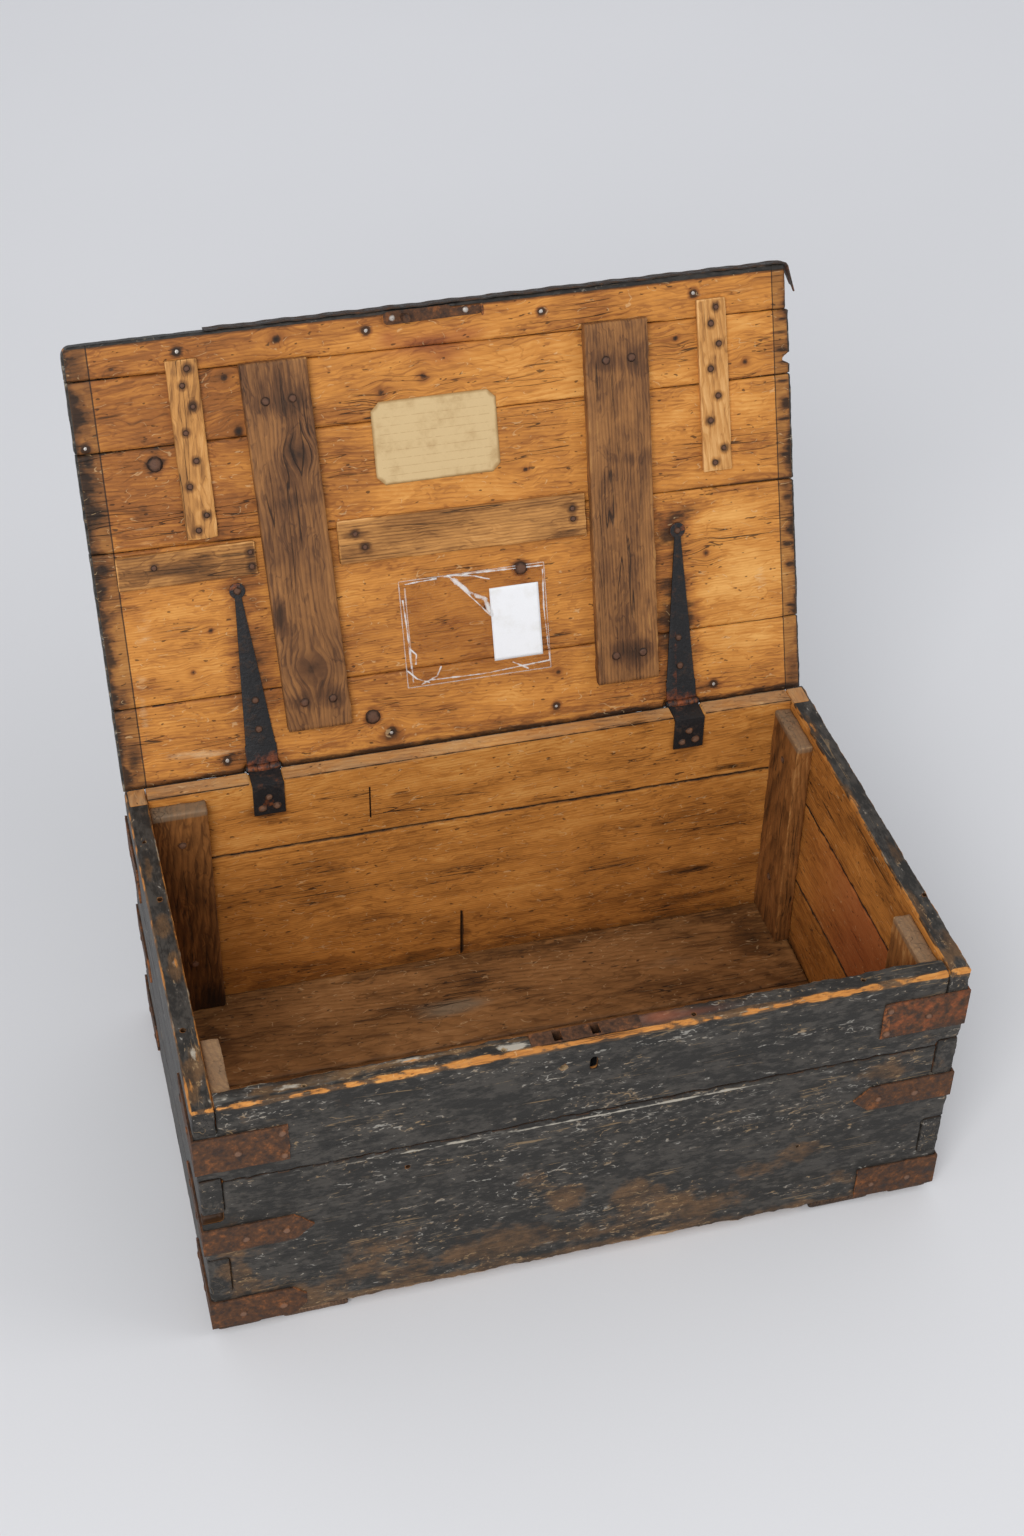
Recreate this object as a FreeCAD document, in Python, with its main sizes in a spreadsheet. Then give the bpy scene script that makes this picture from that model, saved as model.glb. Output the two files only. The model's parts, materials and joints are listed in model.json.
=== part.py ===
import FreeCAD, Part
import os
import re
import Sketcher

# A seaman's chest of nailed pine boards with a flat lid, shown with the lid swung back.
# The origin is on the ground under the middle of the box, x runs along the front,
# y towards the back and z up. All lengths are millimetres and all angles degrees.

SIZES = {
    # the box
    "box_length": 900.0,
    "box_depth": 550.0,
    "board_height": 370.0,
    "wall_thickness": 26.0,
    "floor_thickness": 12.0,
    "front_seam_share": 0.676,
    "back_seam_share": 0.698,
    "side_low_share": 0.325,
    "side_high_share": 0.698,
    "seam_gap": 0.6,
    "joint_gap": 0.3,
    "overrun": 5.0,
    # the tongues of the side boards that show on the front and the back
    "low_tongue": 60.0,
    "middle_tongue": 58.0,
    "top_tongue": 40.0,
    # wear on the front
    "rot_length": 24.0,
    "rot_height": 18.0,
    "rot_depth": 12.0,
    "rot_level_share": 0.497,
    "scrape_start": 70.0,
    "scrape_length": 290.0,
    "scrape_level": 66.0,
    "scrape_radius": 60.0,
    "scrape_depth": 1.6,
    # the skids under the ends
    "skid_height": 14.0,
    "skid_round": 5.0,
    "skid_end_round": 5.0,
    "skid_setback": 1.0,
    "outer_skid_width": 50.0,
    "inner_skid_width": 78.0,
    "outer_skid_inset": 5.0,
    "inner_skid_inset": 81.0,
    # the corner posts
    "post_thickness": 22.0,
    "post_width": 86.0,
    "back_post_width": 71.0,
    "post_drop": 12.0,
    "post_setback": 4.0,
    "saw_cut": 2.0,
    "saw_depth": 14.0,
    "saw_place": 30.0,
    # the corner irons
    "iron_thickness": 2.5,
    "iron_leg": 103.0,
    "iron_tip": 22.0,
    "iron_hole": 1.8,
    "left_top_share": 0.735,
    "left_top_width": 55.0,
    "left_middle_share": 0.362,
    "left_middle_width": 41.0,
    "left_bottom_width": 46.0,
    "right_top_share": 0.765,
    "right_top_width": 55.0,
    "right_middle_share": 0.433,
    "right_middle_width": 40.0,
    "right_bottom_width": 50.0,
    # the hinges
    "open_angle": 110.0,
    "lid_gap": 0.4,
    "leaf_gap": 0.3,
    "left_strap_share": -0.607,
    "right_strap_share": 0.629,
    "strap_width": 40.0,
    "strap_neck": 10.0,
    "strap_gap": 16.0,
    "strap_square": 24.0,
    "strap_lean": 6.0,
    "strap_eye": 10.0,
    "strap_thickness": 3.0,
    "leaf_thickness": 3.0,
    "leaf_drop": 48.0,
    "leaf_side_gap": 1.0,
    "barrel_radius": 5.5,
    "barrel_gap": 0.5,
    "pin_radius": 2.75,
    "pin_fit": 0.05,
    "pin_head_radius": 4.5,
    "pin_head": 2.0,
    "knuckle_width": 15.0,
    "knuckle_gap": 0.5,
    "heel_length": 13.0,
    "heel_thickness": 3.0,
    "heel_gap": 0.2,
    "rear_overhang": 10.0,
    "hinge_room": 1.5,
    # the lock
    "lock_place": -8.0,
    "lock_length": 128.0,
    "lock_height": 64.0,
    "lock_sheet": 2.5,
    "selvedge_width": 20.0,
    "slot_length": 15.0,
    "slot_width": 10.0,
    "left_slot_offset": 32.0,
    "right_slot_offset": 12.0,
    "cap_margin": 9.0,
    "cap_depth": 16.0,
    "cap_sheet": 1.5,
    "lock_clearance": 0.3,
    "keyhole_width": 9.0,
    "keyhole_height": 21.0,
    "keyhole_drop": 30.0,
    "key_pin_radius": 1.8,
    "bolt_thickness": 3.5,
    "bolt_bar": 9.0,
    "bolt_drop": 18.0,
    "bolt_finger": 6.0,
    "bolt_finger_drop": 6.5,
    "bolt_post": 6.0,
    "bolt_reach": 10.0,
    "bolt_end_gap": 7.5,
    "bolt_talon": 8.0,
    "staple_radius": 4.5,
    "staple_length": 16.0,
    "staple_play": 0.5,
    "ledge_width": 6.0,
    "ledge_height": 3.0,
    "spring_thickness": 0.8,
    "spring_gap": 1.0,
    "spring_rise": 5.0,
    # the lid
    "lid_thickness": 22.0,
    "lid_setback_left": 7.0,
    "lid_setback_right": 4.0,
    "rear_left_share": 0.173,
    "rear_right_share": 0.162,
    "lower_left_share": 0.533,
    "lower_right_share": 0.495,
    "middle_left_share": 0.755,
    "middle_right_share": 0.742,
    "upper_left_share": 0.913,
    "upper_right_share": 0.891,
    "front_end_trim": 3.0,
    "notch_mouth": 14.0,
    "notch_depth": 15.0,
    "notch_place": 14.0,
    "split_width": 2.0,
    "split_depth": 29.0,
    "split_place": 36.0,
    # the battens and strips on the inside of the lid
    "wide_batten_width": 82.0,
    "wide_batten_thickness": 15.0,
    "wide_batten_foot": 12.0,
    "wide_batten_end": 22.0,
    "wide_batten_lean": 10.0,
    "left_wide_share": -0.458,
    "right_wide_share": 0.489,
    "narrow_batten_width": 38.0,
    "narrow_batten_thickness": 8.0,
    "narrow_batten_gap": 11.0,
    "narrow_batten_end": 9.0,
    "left_narrow_share": -0.696,
    "right_narrow_share": 0.769,
    "strip_thickness": 7.0,
    "centre_strip_height": 55.0,
    "left_strip_height": 45.0,
    "strip_low_share": 0.44,
    "left_strip_start_share": -0.936,
    "left_strip_end_share": -0.56,
    "strip_clearance": 0.5,
    # the link plate under the lid's front edge
    "link_start": -66.0,
    "link_length": 125.0,
    "link_width": 17.0,
    "link_thickness": 2.5,
    "link_recess": 4.5,
    "link_broad_length": 84.0,
    "link_step": 3.5,
    "link_lip": 3.0,
    # the edging strip on the lid's front edge
    "edging_thickness": 1.6,
    "edging_start_share": -0.624,
    "flap_length": 28.0,
    "flap_spread": 9.0,
    # the papers
    "paper_thickness": 0.5,
    "label_length": 157.0,
    "label_height": 103.0,
    "label_clip": 11.0,
    "label_place": -14.0,
    "label_gap": 36.0,
    "pocket_length": 191.0,
    "pocket_height": 142.0,
    "pocket_place": 16.0,
    "pocket_gap": 32.0,
    "film_thickness": 0.4,
    "pocket_room": 1.4,
    "card_length": 64.0,
    "card_height": 96.0,
    "card_place": 69.0,
    "card_rise": 20.0,
    "pocket_pin_place": 80.0,
    "pocket_pin_inset": 5.0,
    "pocket_hole": 2.4,
    # the nails: head across, head rise, shank across and length
    "iron_nail_head": 9.0,
    "iron_nail_rise": 1.8,
    "iron_nail_shank": 3.0,
    "iron_nail_length": 20.0,
    "board_nail_head": 9.0,
    "board_nail_rise": 1.6,
    "board_nail_shank": 3.2,
    "board_nail_length": 30.0,
    "strip_nail_head": 6.0,
    "strip_nail_rise": 1.2,
    "strip_nail_shank": 2.4,
    "strip_nail_length": 22.0,
    "rose_nail_head": 19.0,
    "rose_nail_rise": 3.0,
    "rose_nail_shank": 4.0,
    "rose_nail_length": 18.0,
    "tack_head": 7.0,
    "tack_rise": 1.2,
    "tack_shank": 2.0,
    "tack_length": 14.0,
    "tack_hole": 1.3,
    "tack_proud": 0.2,
}

# Lengths that follow from the sizes, used by name in the expressions below.
RULES = {
    "rim": "skid_height + board_height",
    "half_length": "box_length / 2",
    "half_depth": "box_depth / 2",
    "inner_length": "box_length / 2 - wall_thickness",
    "inner_depth": "box_depth / 2 - wall_thickness",
    "hinge_set": "barrel_radius + barrel_gap",
    "hinge_y": "box_depth / 2 + barrel_radius + barrel_gap",
    "hinge_z": "skid_height + board_height + lid_gap - strap_thickness - leaf_gap",
    "lid_face": "strap_thickness + leaf_gap",
    "lock_line": "box_depth / 2 - wall_thickness + selvedge_width / 2",
    "link_face": "strap_thickness + leaf_gap + link_recess - link_thickness",
    "front_seam": "board_height * front_seam_share",
    "back_seam": "board_height * back_seam_share",
    "side_low_seam": "board_height * side_low_share",
    "side_high_seam": "board_height * side_high_share",
    "rot_level": "board_height * rot_level_share",
    "left_top_iron": "board_height * left_top_share",
    "left_middle_iron": "board_height * left_middle_share",
    "right_top_iron": "board_height * right_top_share",
    "right_middle_iron": "board_height * right_middle_share",
    "left_strap_place": "box_length / 2 * left_strap_share",
    "right_strap_place": "box_length / 2 * right_strap_share",
    "strap_length": "box_depth * strip_low_share - strap_gap",
    "left_slot_place": "lock_place - left_slot_offset",
    "right_slot_place": "lock_place + right_slot_offset",
    "spring_length": "lock_length / 2 - cap_margin - cap_sheet - right_slot_offset"
                     " - staple_radius - bolt_reach - bolt_post - spring_gap",
    "lid_front_left": "box_depth - lid_setback_left",
    "lid_front_right": "box_depth - lid_setback_right",
    "rear_seam_left": "box_depth * rear_left_share",
    "rear_seam_right": "box_depth * rear_right_share",
    "lower_seam_left": "box_depth * lower_left_share",
    "lower_seam_right": "box_depth * lower_right_share",
    "middle_seam_left": "box_depth * middle_left_share",
    "middle_seam_right": "box_depth * middle_right_share",
    "upper_seam_left": "box_depth * upper_left_share",
    "upper_seam_right": "box_depth * upper_right_share",
    "wide_batten_low": "wall_thickness + wide_batten_foot",
    "wide_batten_high": "box_depth - wall_thickness - wide_batten_end",
    "left_wide_place": "box_length / 2 * left_wide_share",
    "right_wide_place": "box_length / 2 * right_wide_share",
    "strip_low": "box_depth * strip_low_share",
    "narrow_batten_low": "box_depth * strip_low_share + left_strip_height + narrow_batten_gap",
    "narrow_batten_high": "box_depth - wall_thickness - narrow_batten_end",
    "left_narrow_place": "box_length / 2 * left_narrow_share",
    "right_narrow_place": "box_length / 2 * right_narrow_share",
    "left_strip_start": "box_length / 2 * left_strip_start_share",
    "left_strip_end": "box_length / 2 * left_strip_end_share",
    "edging_start": "box_length / 2 * edging_start_share",
    "label_low": "box_depth * strip_low_share + centre_strip_height + label_gap",
    "pocket_low": "box_depth * strip_low_share - pocket_height - pocket_gap",
    "card_low": "pocket_low + card_rise",
}

doc = FreeCAD.newDocument("SeaChest")
sheet = doc.addObject("Spreadsheet::Sheet", "Sizes")
for row, (name, size) in enumerate(SIZES.items(), start=1):
    sheet.set("A%d" % row, name)
    sheet.set("B%d" % row, str(size))
    sheet.setAlias("B%d" % row, name)
doc.recompute()

Vector = FreeCAD.Vector
parts = {}


def full(text):
    """Put the sheet's cells in place of the plain names in an expression."""
    def swap(found):
        name = found.group(0)
        if name in RULES:
            return "(" + full(RULES[name]) + ")"
        return "Sizes." + name if name in SIZES else name
    return re.sub(r"[a-z][a-z_]+", swap, text)


def number(text):
    """Work an expression out to a plain number."""
    found = sheet.evalExpression(full(text))
    return float(getattr(found, "Value", found))


def bind(item, prop, text):
    item.setExpression(prop, full(text))


def keep(item, name):
    """Name a finished piece, which also names its file."""
    item.Label = name
    parts[name] = item
    return item


def place(item, x="0", y="0", z="0"):
    for axis, text in zip("xyz", (x, y, z)):
        bind(item, "Placement.Base." + axis, text)
    return item


def on_lid(item, x="0"):
    """Swing a piece drawn with its origin on the hinge line to the open lid."""
    item.Placement = FreeCAD.Placement(Vector(), FreeCAD.Rotation(Vector(1, 0, 0), -1))
    bind(item, "Placement.Rotation.Angle", "open_angle")
    item.Placement.Rotation.Axis = Vector(-1, 0, 0)
    return place(item, x, "hinge_y", "hinge_z")


def block(x, y, z, length, width, height):
    """A plain box from its lowest corner and its three sides."""
    item = doc.addObject("Part::Box", "Block")
    for prop, text in (("Length", length), ("Width", width), ("Height", height)):
        bind(item, prop, text)
    return place(item, x, y, z)


def cut(base, *tools):
    """Take tools away from a base."""
    for tool in tools:
        item = doc.addObject("Part::Cut", "Cut")
        item.Base, item.Tool = base, tool
        base = item
    return base


def group(items, kind="Part::MultiFuse"):
    item = doc.addObject(kind, "Group")
    if kind == "Part::MultiFuse":
        item.Shapes = items
    else:
        item.Links = items
    return item


def mirrored(item, normal):
    copy = doc.addObject("Part::Mirroring", "Mirrored")
    copy.Source = item
    copy.Normal = normal
    return copy


def new_body():
    return doc.addObject("PartDesign::Body", "Body")


# The level of a profile is its height on the top plane, its y on the front plane
# and its x on the side plane. Pads and cuts run up, to the front and to the right.
PLANES = {"top": "XY_Plane", "front": "XZ_Plane", "side": "YZ_Plane"}


def profile(body, plane, level, points=(), circles=(), squares=()):
    """A closed outline of straight sides, with or without round and square holes."""
    item = body.newObject("Sketcher::SketchObject", "Profile")
    base = [face for face in body.Origin.OriginFeatures if face.Role == PLANES[plane]][0]
    item.AttachmentSupport = [(base, "")]
    item.MapMode = "FlatFace"
    bind(item, "AttachmentOffset.Base.z", "-(%s)" % level if plane == "front" else level)
    loops = [points] if points else []
    loops += [rectangle("%s - %s" % (u, half), "%s + %s" % (u, half), "%s - %s" % (v, half),
                        "%s + %s" % (v, half)) for u, v, half in squares]
    ties, driven, first = [], [], 0
    for loop in loops:
        count = len(loop)
        corners = [Vector(number(u), number(v), 0) for u, v in loop]
        for index, (u, v) in enumerate(loop):
            follower = (index + 1) % count
            item.addGeometry(Part.LineSegment(corners[index], corners[follower]))
            ties.append(Sketcher.Constraint("Coincident", first + index, 2,
                                            first + follower, 1))
            for kind, text in (("DistanceX", u), ("DistanceY", v)):
                driven.append((len(ties), text))
                ties.append(Sketcher.Constraint(kind, -1, 1, first + index, 1, number(text)))
        first += count
    for index, (u, v, radius) in enumerate(circles, start=first):
        middle = Vector(number(u), number(v), 0)
        item.addGeometry(Part.Circle(middle, Vector(0, 0, 1), number(radius)))
        for kind, text in (("DistanceX", u), ("DistanceY", v)):
            driven.append((len(ties), text))
            ties.append(Sketcher.Constraint(kind, -1, 1, index, 3, number(text)))
        driven.append((len(ties), radius))
        ties.append(Sketcher.Constraint("Radius", index, number(radius)))
    item.addConstraint(ties)
    for index, text in driven:
        bind(item, "Constraints[%d]" % index, text)
    return item


def pad(body, plane, level, length, points=(), circles=(), squares=()):
    outline = profile(body, plane, level, points, circles, squares)
    item = body.newObject("PartDesign::Pad", "Pad")
    item.Profile = outline
    bind(item, "Length", length)
    doc.recompute()
    return item


def pocket(body, plane, level, length, points=(), circles=(), squares=()):
    outline = profile(body, plane, level, points, circles, squares)
    item = body.newObject("PartDesign::Pocket", "Pocket")
    item.Profile = outline
    item.Reversed = True
    bind(item, "Length", length)
    doc.recompute()
    return item


def rectangle(left, right, low, high):
    return ((left, low), (right, low), (right, high), (left, high))


# The walls. The side boards' tongues pass through to the front and the back, and
# the front and back boards are cut away for them.
def tongue_sockets():
    tongues = (("side_low_seam", "low_tongue"), ("side_high_seam", "middle_tongue"),
               ("board_height", "top_tongue"))
    sockets = []
    for top, height in tongues:
        for x in ("-half_length - overrun", "inner_length - joint_gap"):
            sockets.append(block(
                x, "-half_depth - overrun", "skid_height + %s - %s - joint_gap" % (top, height),
                "wall_thickness + overrun + joint_gap", "box_depth + 2 * overrun",
                "%s + 2 * joint_gap" % height))
    return group(sockets)


def long_board(y, low, high, *tools):
    """One board of the front or the back, between two levels of the box."""
    board = block("-half_length", y, "skid_height + " + low, "box_length", "wall_thickness",
                  "%s - (%s)" % (high, low))
    return cut(board, *tools)


def side_board(side, name, low, high, tongue):
    """One board of an end: between the front and the back, with a tongue at its top."""
    body = new_body()
    core, tip = "inner_depth - joint_gap", "half_depth"
    step = "%s - %s" % (high, tongue)
    pad(body, "side", "inner_length", "wall_thickness", (
        ("-(%s)" % core, low), (core, low), (core, step), (tip, step), (tip, high),
        ("-" + tip, high), ("-" + tip, step), ("-(%s)" % core, step)))
    place(body, z="skid_height")
    if side == "left":
        body = mirrored(body, Vector(1, 0, 0))
    return keep(body, "%s_board_%s" % (side, name))


def strap_notches():
    """The seats of the hinge leaves in the top of the back."""
    return [block(middle + " - strap_width / 2 - leaf_side_gap", "inner_depth - overrun",
                  "hinge_z - leaf_gap - leaf_thickness", "strap_width + 2 * leaf_side_gap",
                  "wall_thickness + 2 * overrun", "board_height")
            for middle in ("left_strap_place", "right_strap_place")]


def lock_seats():
    """The recess of the lock, its mortise, and the keyhole through to the front."""
    plate = block("lock_place - lock_length / 2", "-inner_depth - lock_sheet",
                  "rim - lock_height", "lock_length", "lock_sheet + overrun",
                  "lock_height + overrun")
    selvedge = block("lock_place - lock_length / 2", "-inner_depth - selvedge_width",
                     "rim - lock_sheet", "lock_length", "selvedge_width + overrun",
                     "lock_sheet + overrun")
    mortise = block("lock_place - lock_length / 2 + cap_margin - lock_clearance",
                    "-inner_depth - lock_sheet - cap_depth - lock_clearance",
                    "rim - lock_height + cap_margin - lock_clearance",
                    "lock_length - 2 * cap_margin + 2 * lock_clearance",
                    "cap_depth + lock_sheet + overrun", "lock_height - cap_margin")
    keyhole = block("-keyhole_width / 2", "-half_depth - overrun",
                    "rim - keyhole_drop - keyhole_height", "keyhole_width",
                    "wall_thickness + overrun", "keyhole_height")
    return [plate, selvedge, mortise, keyhole]


def scrape():
    """A long shallow scoop worn into the lower front board."""
    item = doc.addObject("Part::Cylinder", "Scrape")
    bind(item, "Radius", "scrape_radius")
    bind(item, "Height", "scrape_length")
    item.Placement = FreeCAD.Placement(Vector(), FreeCAD.Rotation(Vector(0, 1, 0), 90))
    return place(item, "scrape_start", "-half_depth - scrape_radius + scrape_depth",
                 "skid_height + scrape_level")


def walls():
    sockets = tongue_sockets()
    rot = block("-half_length - overrun", "-half_depth - overrun", "skid_height + rot_level",
                "rot_length + overrun", "rot_depth + overrun", "rot_height")
    under, over = " - seam_gap / 2", " + seam_gap / 2"
    front, back = "-half_depth", "inner_depth"
    keep(long_board(front, "0", "front_seam" + under, sockets, rot, scrape()),
         "front_board_lower")
    keep(long_board(front, "front_seam" + over, "board_height", sockets, *lock_seats()),
         "front_board_upper")
    keep(long_board(back, "0", "back_seam" + under, sockets), "back_board_lower")
    keep(long_board(back, "back_seam" + over, "board_height", sockets, *strap_notches()),
         "back_board_upper")
    for side in ("left", "right"):
        side_board(side, "lower", "0", "side_low_seam" + under, "low_tongue")
        side_board(side, "middle", "side_low_seam" + over, "side_high_seam" + under,
                   "middle_tongue")
        side_board(side, "upper", "side_high_seam" + over, "board_height", "top_tongue")


# The floor boards lie between the walls, flush with their lower edges.
def floor_boards():
    names = ("front", "middle", "rear")
    width = "((2 * inner_depth - 2 * joint_gap - 2 * seam_gap) / 3)"
    for index, name in enumerate(names):
        y = "-inner_depth + joint_gap + %d * (%s + seam_gap)" % (index, width)
        keep(block("-inner_length + joint_gap", y, "skid_height", "2 * inner_length - 2 * joint_gap",
                   width, "floor_thickness"), "floor_board_" + name)


def skid_pair(name, inset, width):
    """Two worn skids that run from front to back under the ends of the box."""
    cross = new_body()
    inner, outer = "half_length - %s - %s" % (inset, width), "half_length - %s" % inset
    pad(cross, "front", "half_depth", "box_depth", (
        (inner, "skid_height"), (inner, "skid_round"), (inner + " + skid_round", "0"),
        (outer + " - skid_round", "0"), (outer, "skid_round"), (outer, "skid_height")))
    along = new_body()
    end = "half_depth - skid_setback"
    pad(along, "side", "inner_length - inner_skid_inset - inner_skid_width", "half_length", (
        ("-(%s)" % end, "skid_height"), ("-(%s)" % end, "skid_height / 2"),
        ("-(%s) + skid_end_round" % end, "0"), (end + " - skid_end_round", "0"),
        (end, "skid_height / 2"), (end, "skid_height")))
    skid = doc.addObject("Part::Common", "Skid")
    skid.Base, skid.Tool = cross, along
    keep(group([skid, mirrored(skid, Vector(1, 0, 0))], "Part::Compound"), name)


# The posts stiffen the corners inside, a little lower than the rim.
def posts():
    floor = "skid_height + floor_thickness"
    height = "board_height - floor_thickness - post_drop"
    keep(block("-inner_length", "inner_depth - post_thickness", floor, "back_post_width",
               "post_thickness", height), "post_rear_left")
    keep(block("inner_length - post_thickness", "inner_depth - post_width", floor,
               "post_thickness", "post_width", height), "post_rear_right")
    keep(block("inner_length - post_thickness", "-inner_depth + post_setback", floor,
               "post_thickness", "post_width", height), "post_front_right")
    kerf = block("-inner_length - overrun",
                 "-inner_depth + post_setback + post_width - saw_place",
                 "rim - post_drop - saw_depth", "post_thickness + 2 * overrun", "saw_cut",
                 "saw_depth + overrun")
    keep(cut(block("-inner_length", "-inner_depth + post_setback", floor, "post_thickness",
                   "post_width", height), kerf), "post_front_left")


# The corner irons. Each is a strap bent round the corner, with nail holes whose
# places are shares of the leg's length and of the strap's width.
TOP_HOLE_SHARES = ((0.45, 0.45), (0.93, 0.8), (0.94, 0.14))
MIDDLE_HOLE_SHARES = ((0.45, 0.42), (0.9, 0.45))
BOTTOM_HOLE_SHARES = ((0.34, 0.4), (0.8, 0.4))
SIDE_HOLE_SHARES = ((0.4, 0.5), (0.88, 0.5))


def leg_outline(start, end, low, high, style):
    """A leg seen square on, from the corner to a square, pointed or rounded end."""
    points = [(start, low), (end, low)]
    middle = "(%s + %s) / 2" % (low, high)
    if style == "pointed":
        points.append(("%s + iron_tip" % end, middle))
    if style == "rounded":
        points[1] = (end + " - iron_tip / 3", low)
        points += [("%s + iron_tip / 3" % end, "(2 * %s + %s) / 3" % (low, high)),
                   ("%s + iron_tip / 3" % end, "(%s + 2 * %s) / 3" % (low, high)),
                   (end + " - iron_tip / 3", high)]
    else:
        points.append((end, high))
    points.append((start, high))
    return points


def corner_iron(low, width, style, shares):
    """A bent iron on the corner where x and y are highest, and its nails' places."""
    body = new_body()
    high = "%s + %s" % (low, width)
    low, high = "(skid_height + %s)" % low, "(skid_height + %s)" % high
    spots = [("half_length - iron_leg * %s" % along, "%s + (%s) * %s" % (low, width, up))
             for along, up in shares]
    side_spots = [("half_depth - iron_leg * %s" % along, "%s + (%s) * %s" % (low, width, up))
                  for along, up in SIDE_HOLE_SHARES]
    flip = [("-(%s)" % u, v) for u, v in
            leg_outline("-half_length - iron_thickness", "-half_length + iron_leg", low, high,
                        style)]
    pad(body, "front", "half_depth + iron_thickness", "iron_thickness", flip,
        (), [(u, v, "iron_hole") for u, v in spots])
    flip = [("-(%s)" % u, v) for u, v in
            leg_outline("-half_depth - iron_thickness", "-half_depth + iron_leg", low, high,
                        style)]
    pad(body, "side", "half_length", "iron_thickness", flip,
        (), [(u, v, "iron_hole") for u, v in side_spots])
    return body, spots, side_spots


IRONS = {
    "left": (("left_top_iron", "left_top_width", "square", TOP_HOLE_SHARES),
             ("left_middle_iron", "left_middle_width", "pointed", MIDDLE_HOLE_SHARES),
             ("0", "left_bottom_width", "rounded", BOTTOM_HOLE_SHARES)),
    "right": (("right_top_iron", "right_top_width", "square", TOP_HOLE_SHARES),
              ("right_middle_iron", "right_middle_width", "pointed", MIDDLE_HOLE_SHARES),
              ("0", "right_bottom_width", "square", BOTTOM_HOLE_SHARES)),
}
iron_spots = []


def irons():
    for side, straps in IRONS.items():
        bodies = []
        turn = -1 if side == "left" else 1
        for low, width, style, shares in straps:
            body, spots, side_spots = corner_iron(low, width, style, shares)
            bodies.append(body)
            for end in (-1, 1):
                iron_spots.extend((turn, end, u, v, "long") for u, v in spots)
                iron_spots.extend((turn, end, u, v, "side") for u, v in side_spots)
        rear = group(bodies, "Part::Compound")
        if side == "left":
            rear = mirrored(rear, Vector(1, 0, 0))
        keep(rear, "rear_%s_irons" % side)
        keep(mirrored(rear, Vector(0, 1, 0)), "front_%s_irons" % side)


# The hinges. A leaf lies in its notch over the back's top edge and turns down its
# inner face, and a tapered strap lies on the inside of the lid. The origin of both
# is the middle of the pin.
LEAF_NAIL_SHARES = ((0.0, 0.42), (-0.22, 0.78), (0.24, 0.74))
STRAP_NAIL_SHARES = ((0.0, 0.2), (0.0, 0.37), (1.0, 1.0))


def hinge_leaf(name, middle):
    body = new_body()
    near = "-(barrel_radius + leaf_gap)"
    top, under = "-leaf_gap", "-leaf_gap - leaf_thickness"
    inner = "-hinge_set - wall_thickness"
    room = inner + " - leaf_thickness"
    foot = "-leaf_gap - leaf_drop"
    pad(body, "side", "-strap_width / 2", "strap_width", (
        (near, top), (near, under), (inner, under), (inner, foot), (room, foot), (room, top)))
    knuckle = "strap_width / 2 - knuckle_width / 2 - knuckle_gap"
    for start in ("-strap_width / 2", "knuckle_width / 2 + knuckle_gap"):
        pad(body, "side", start, knuckle, rectangle(near + " - leaf_thickness", "0", under, top))
        pad(body, "side", start, knuckle, (), [("0", "0", "barrel_radius")])
    pocket(body, "side", "-strap_width / 2 - overrun", "strap_width + 2 * overrun", (),
           [("0", "0", "pin_radius + pin_fit")])
    holes = [("strap_width * %s" % across, "-leaf_gap - leaf_drop * %s" % down, "iron_hole")
             for across, down in LEAF_NAIL_SHARES]
    pocket(body, "front", inner + " + overrun", "leaf_thickness + 2 * overrun", (), (), holes)
    place(body, middle, "hinge_y", "hinge_z")
    keep(body, name)


def hinge_strap(name, middle, lean):
    """A strap from its base, round the knuckle, to the eye at its far end."""
    body = new_body()
    base, square = "-(barrel_radius + leaf_gap)", "-(hinge_set + strap_square)"
    tip = "-(hinge_set + strap_length)"
    half, neck, eye = "strap_width / 2", "strap_neck / 2", "%s * strap_lean" % lean
    pad(body, "top", "leaf_gap", "strap_thickness", (
        ("-knuckle_width / 2", "0"), ("-knuckle_width / 2", base), ("-" + half, base),
        ("-" + half, square), ("%s - %s" % (eye, neck), tip), ("%s + %s" % (eye, neck), tip),
        (half, square), (half, base), ("knuckle_width / 2", base), ("knuckle_width / 2", "0")))
    pad(body, "top", "leaf_gap", "strap_thickness", (), [(eye, tip, "strap_eye")])
    pad(body, "side", "-knuckle_width / 2", "knuckle_width", (), [("0", "0", "barrel_radius")])
    # the heel of the eye bears on the back of the box when the lid is open
    turn = "(%s) * cos(open_angle) - (%s) * sin(open_angle)"
    rise = "(%s) * sin(open_angle) + (%s) * cos(open_angle)"
    front, rear = "-hinge_set + heel_gap", "-hinge_set + heel_gap + heel_thickness"
    corners = ((front, "-heel_length"), (rear, "-heel_length"), (rear, "0"), (front, "0"))
    pad(body, "side", "-knuckle_width / 2", "knuckle_width",
        [(turn % pair, rise % pair) for pair in corners])
    pocket(body, "side", "-strap_width / 2", "strap_width", (),
           [("0", "0", "pin_radius + pin_fit")])
    holes = [("%s * %s" % (eye, lean_share),
              "-(hinge_set + strap_length * %s)" % share, "iron_hole")
             for lean_share, share in STRAP_NAIL_SHARES]
    pocket(body, "top", "leaf_gap - overrun", "strap_thickness + 2 * overrun", (), (), holes)
    on_lid(body, middle)
    keep(body, name)


def hinge_pin(middle):
    pin = new_body()
    pad(pin, "side", "-strap_width / 2", "strap_width", (), [("0", "0", "pin_radius")])
    for start in ("-strap_width / 2 - pin_head", "strap_width / 2"):
        pad(pin, "side", start, "pin_head", (), [("0", "0", "pin_head_radius")])
    return place(pin, middle, "hinge_y", "hinge_z")


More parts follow.
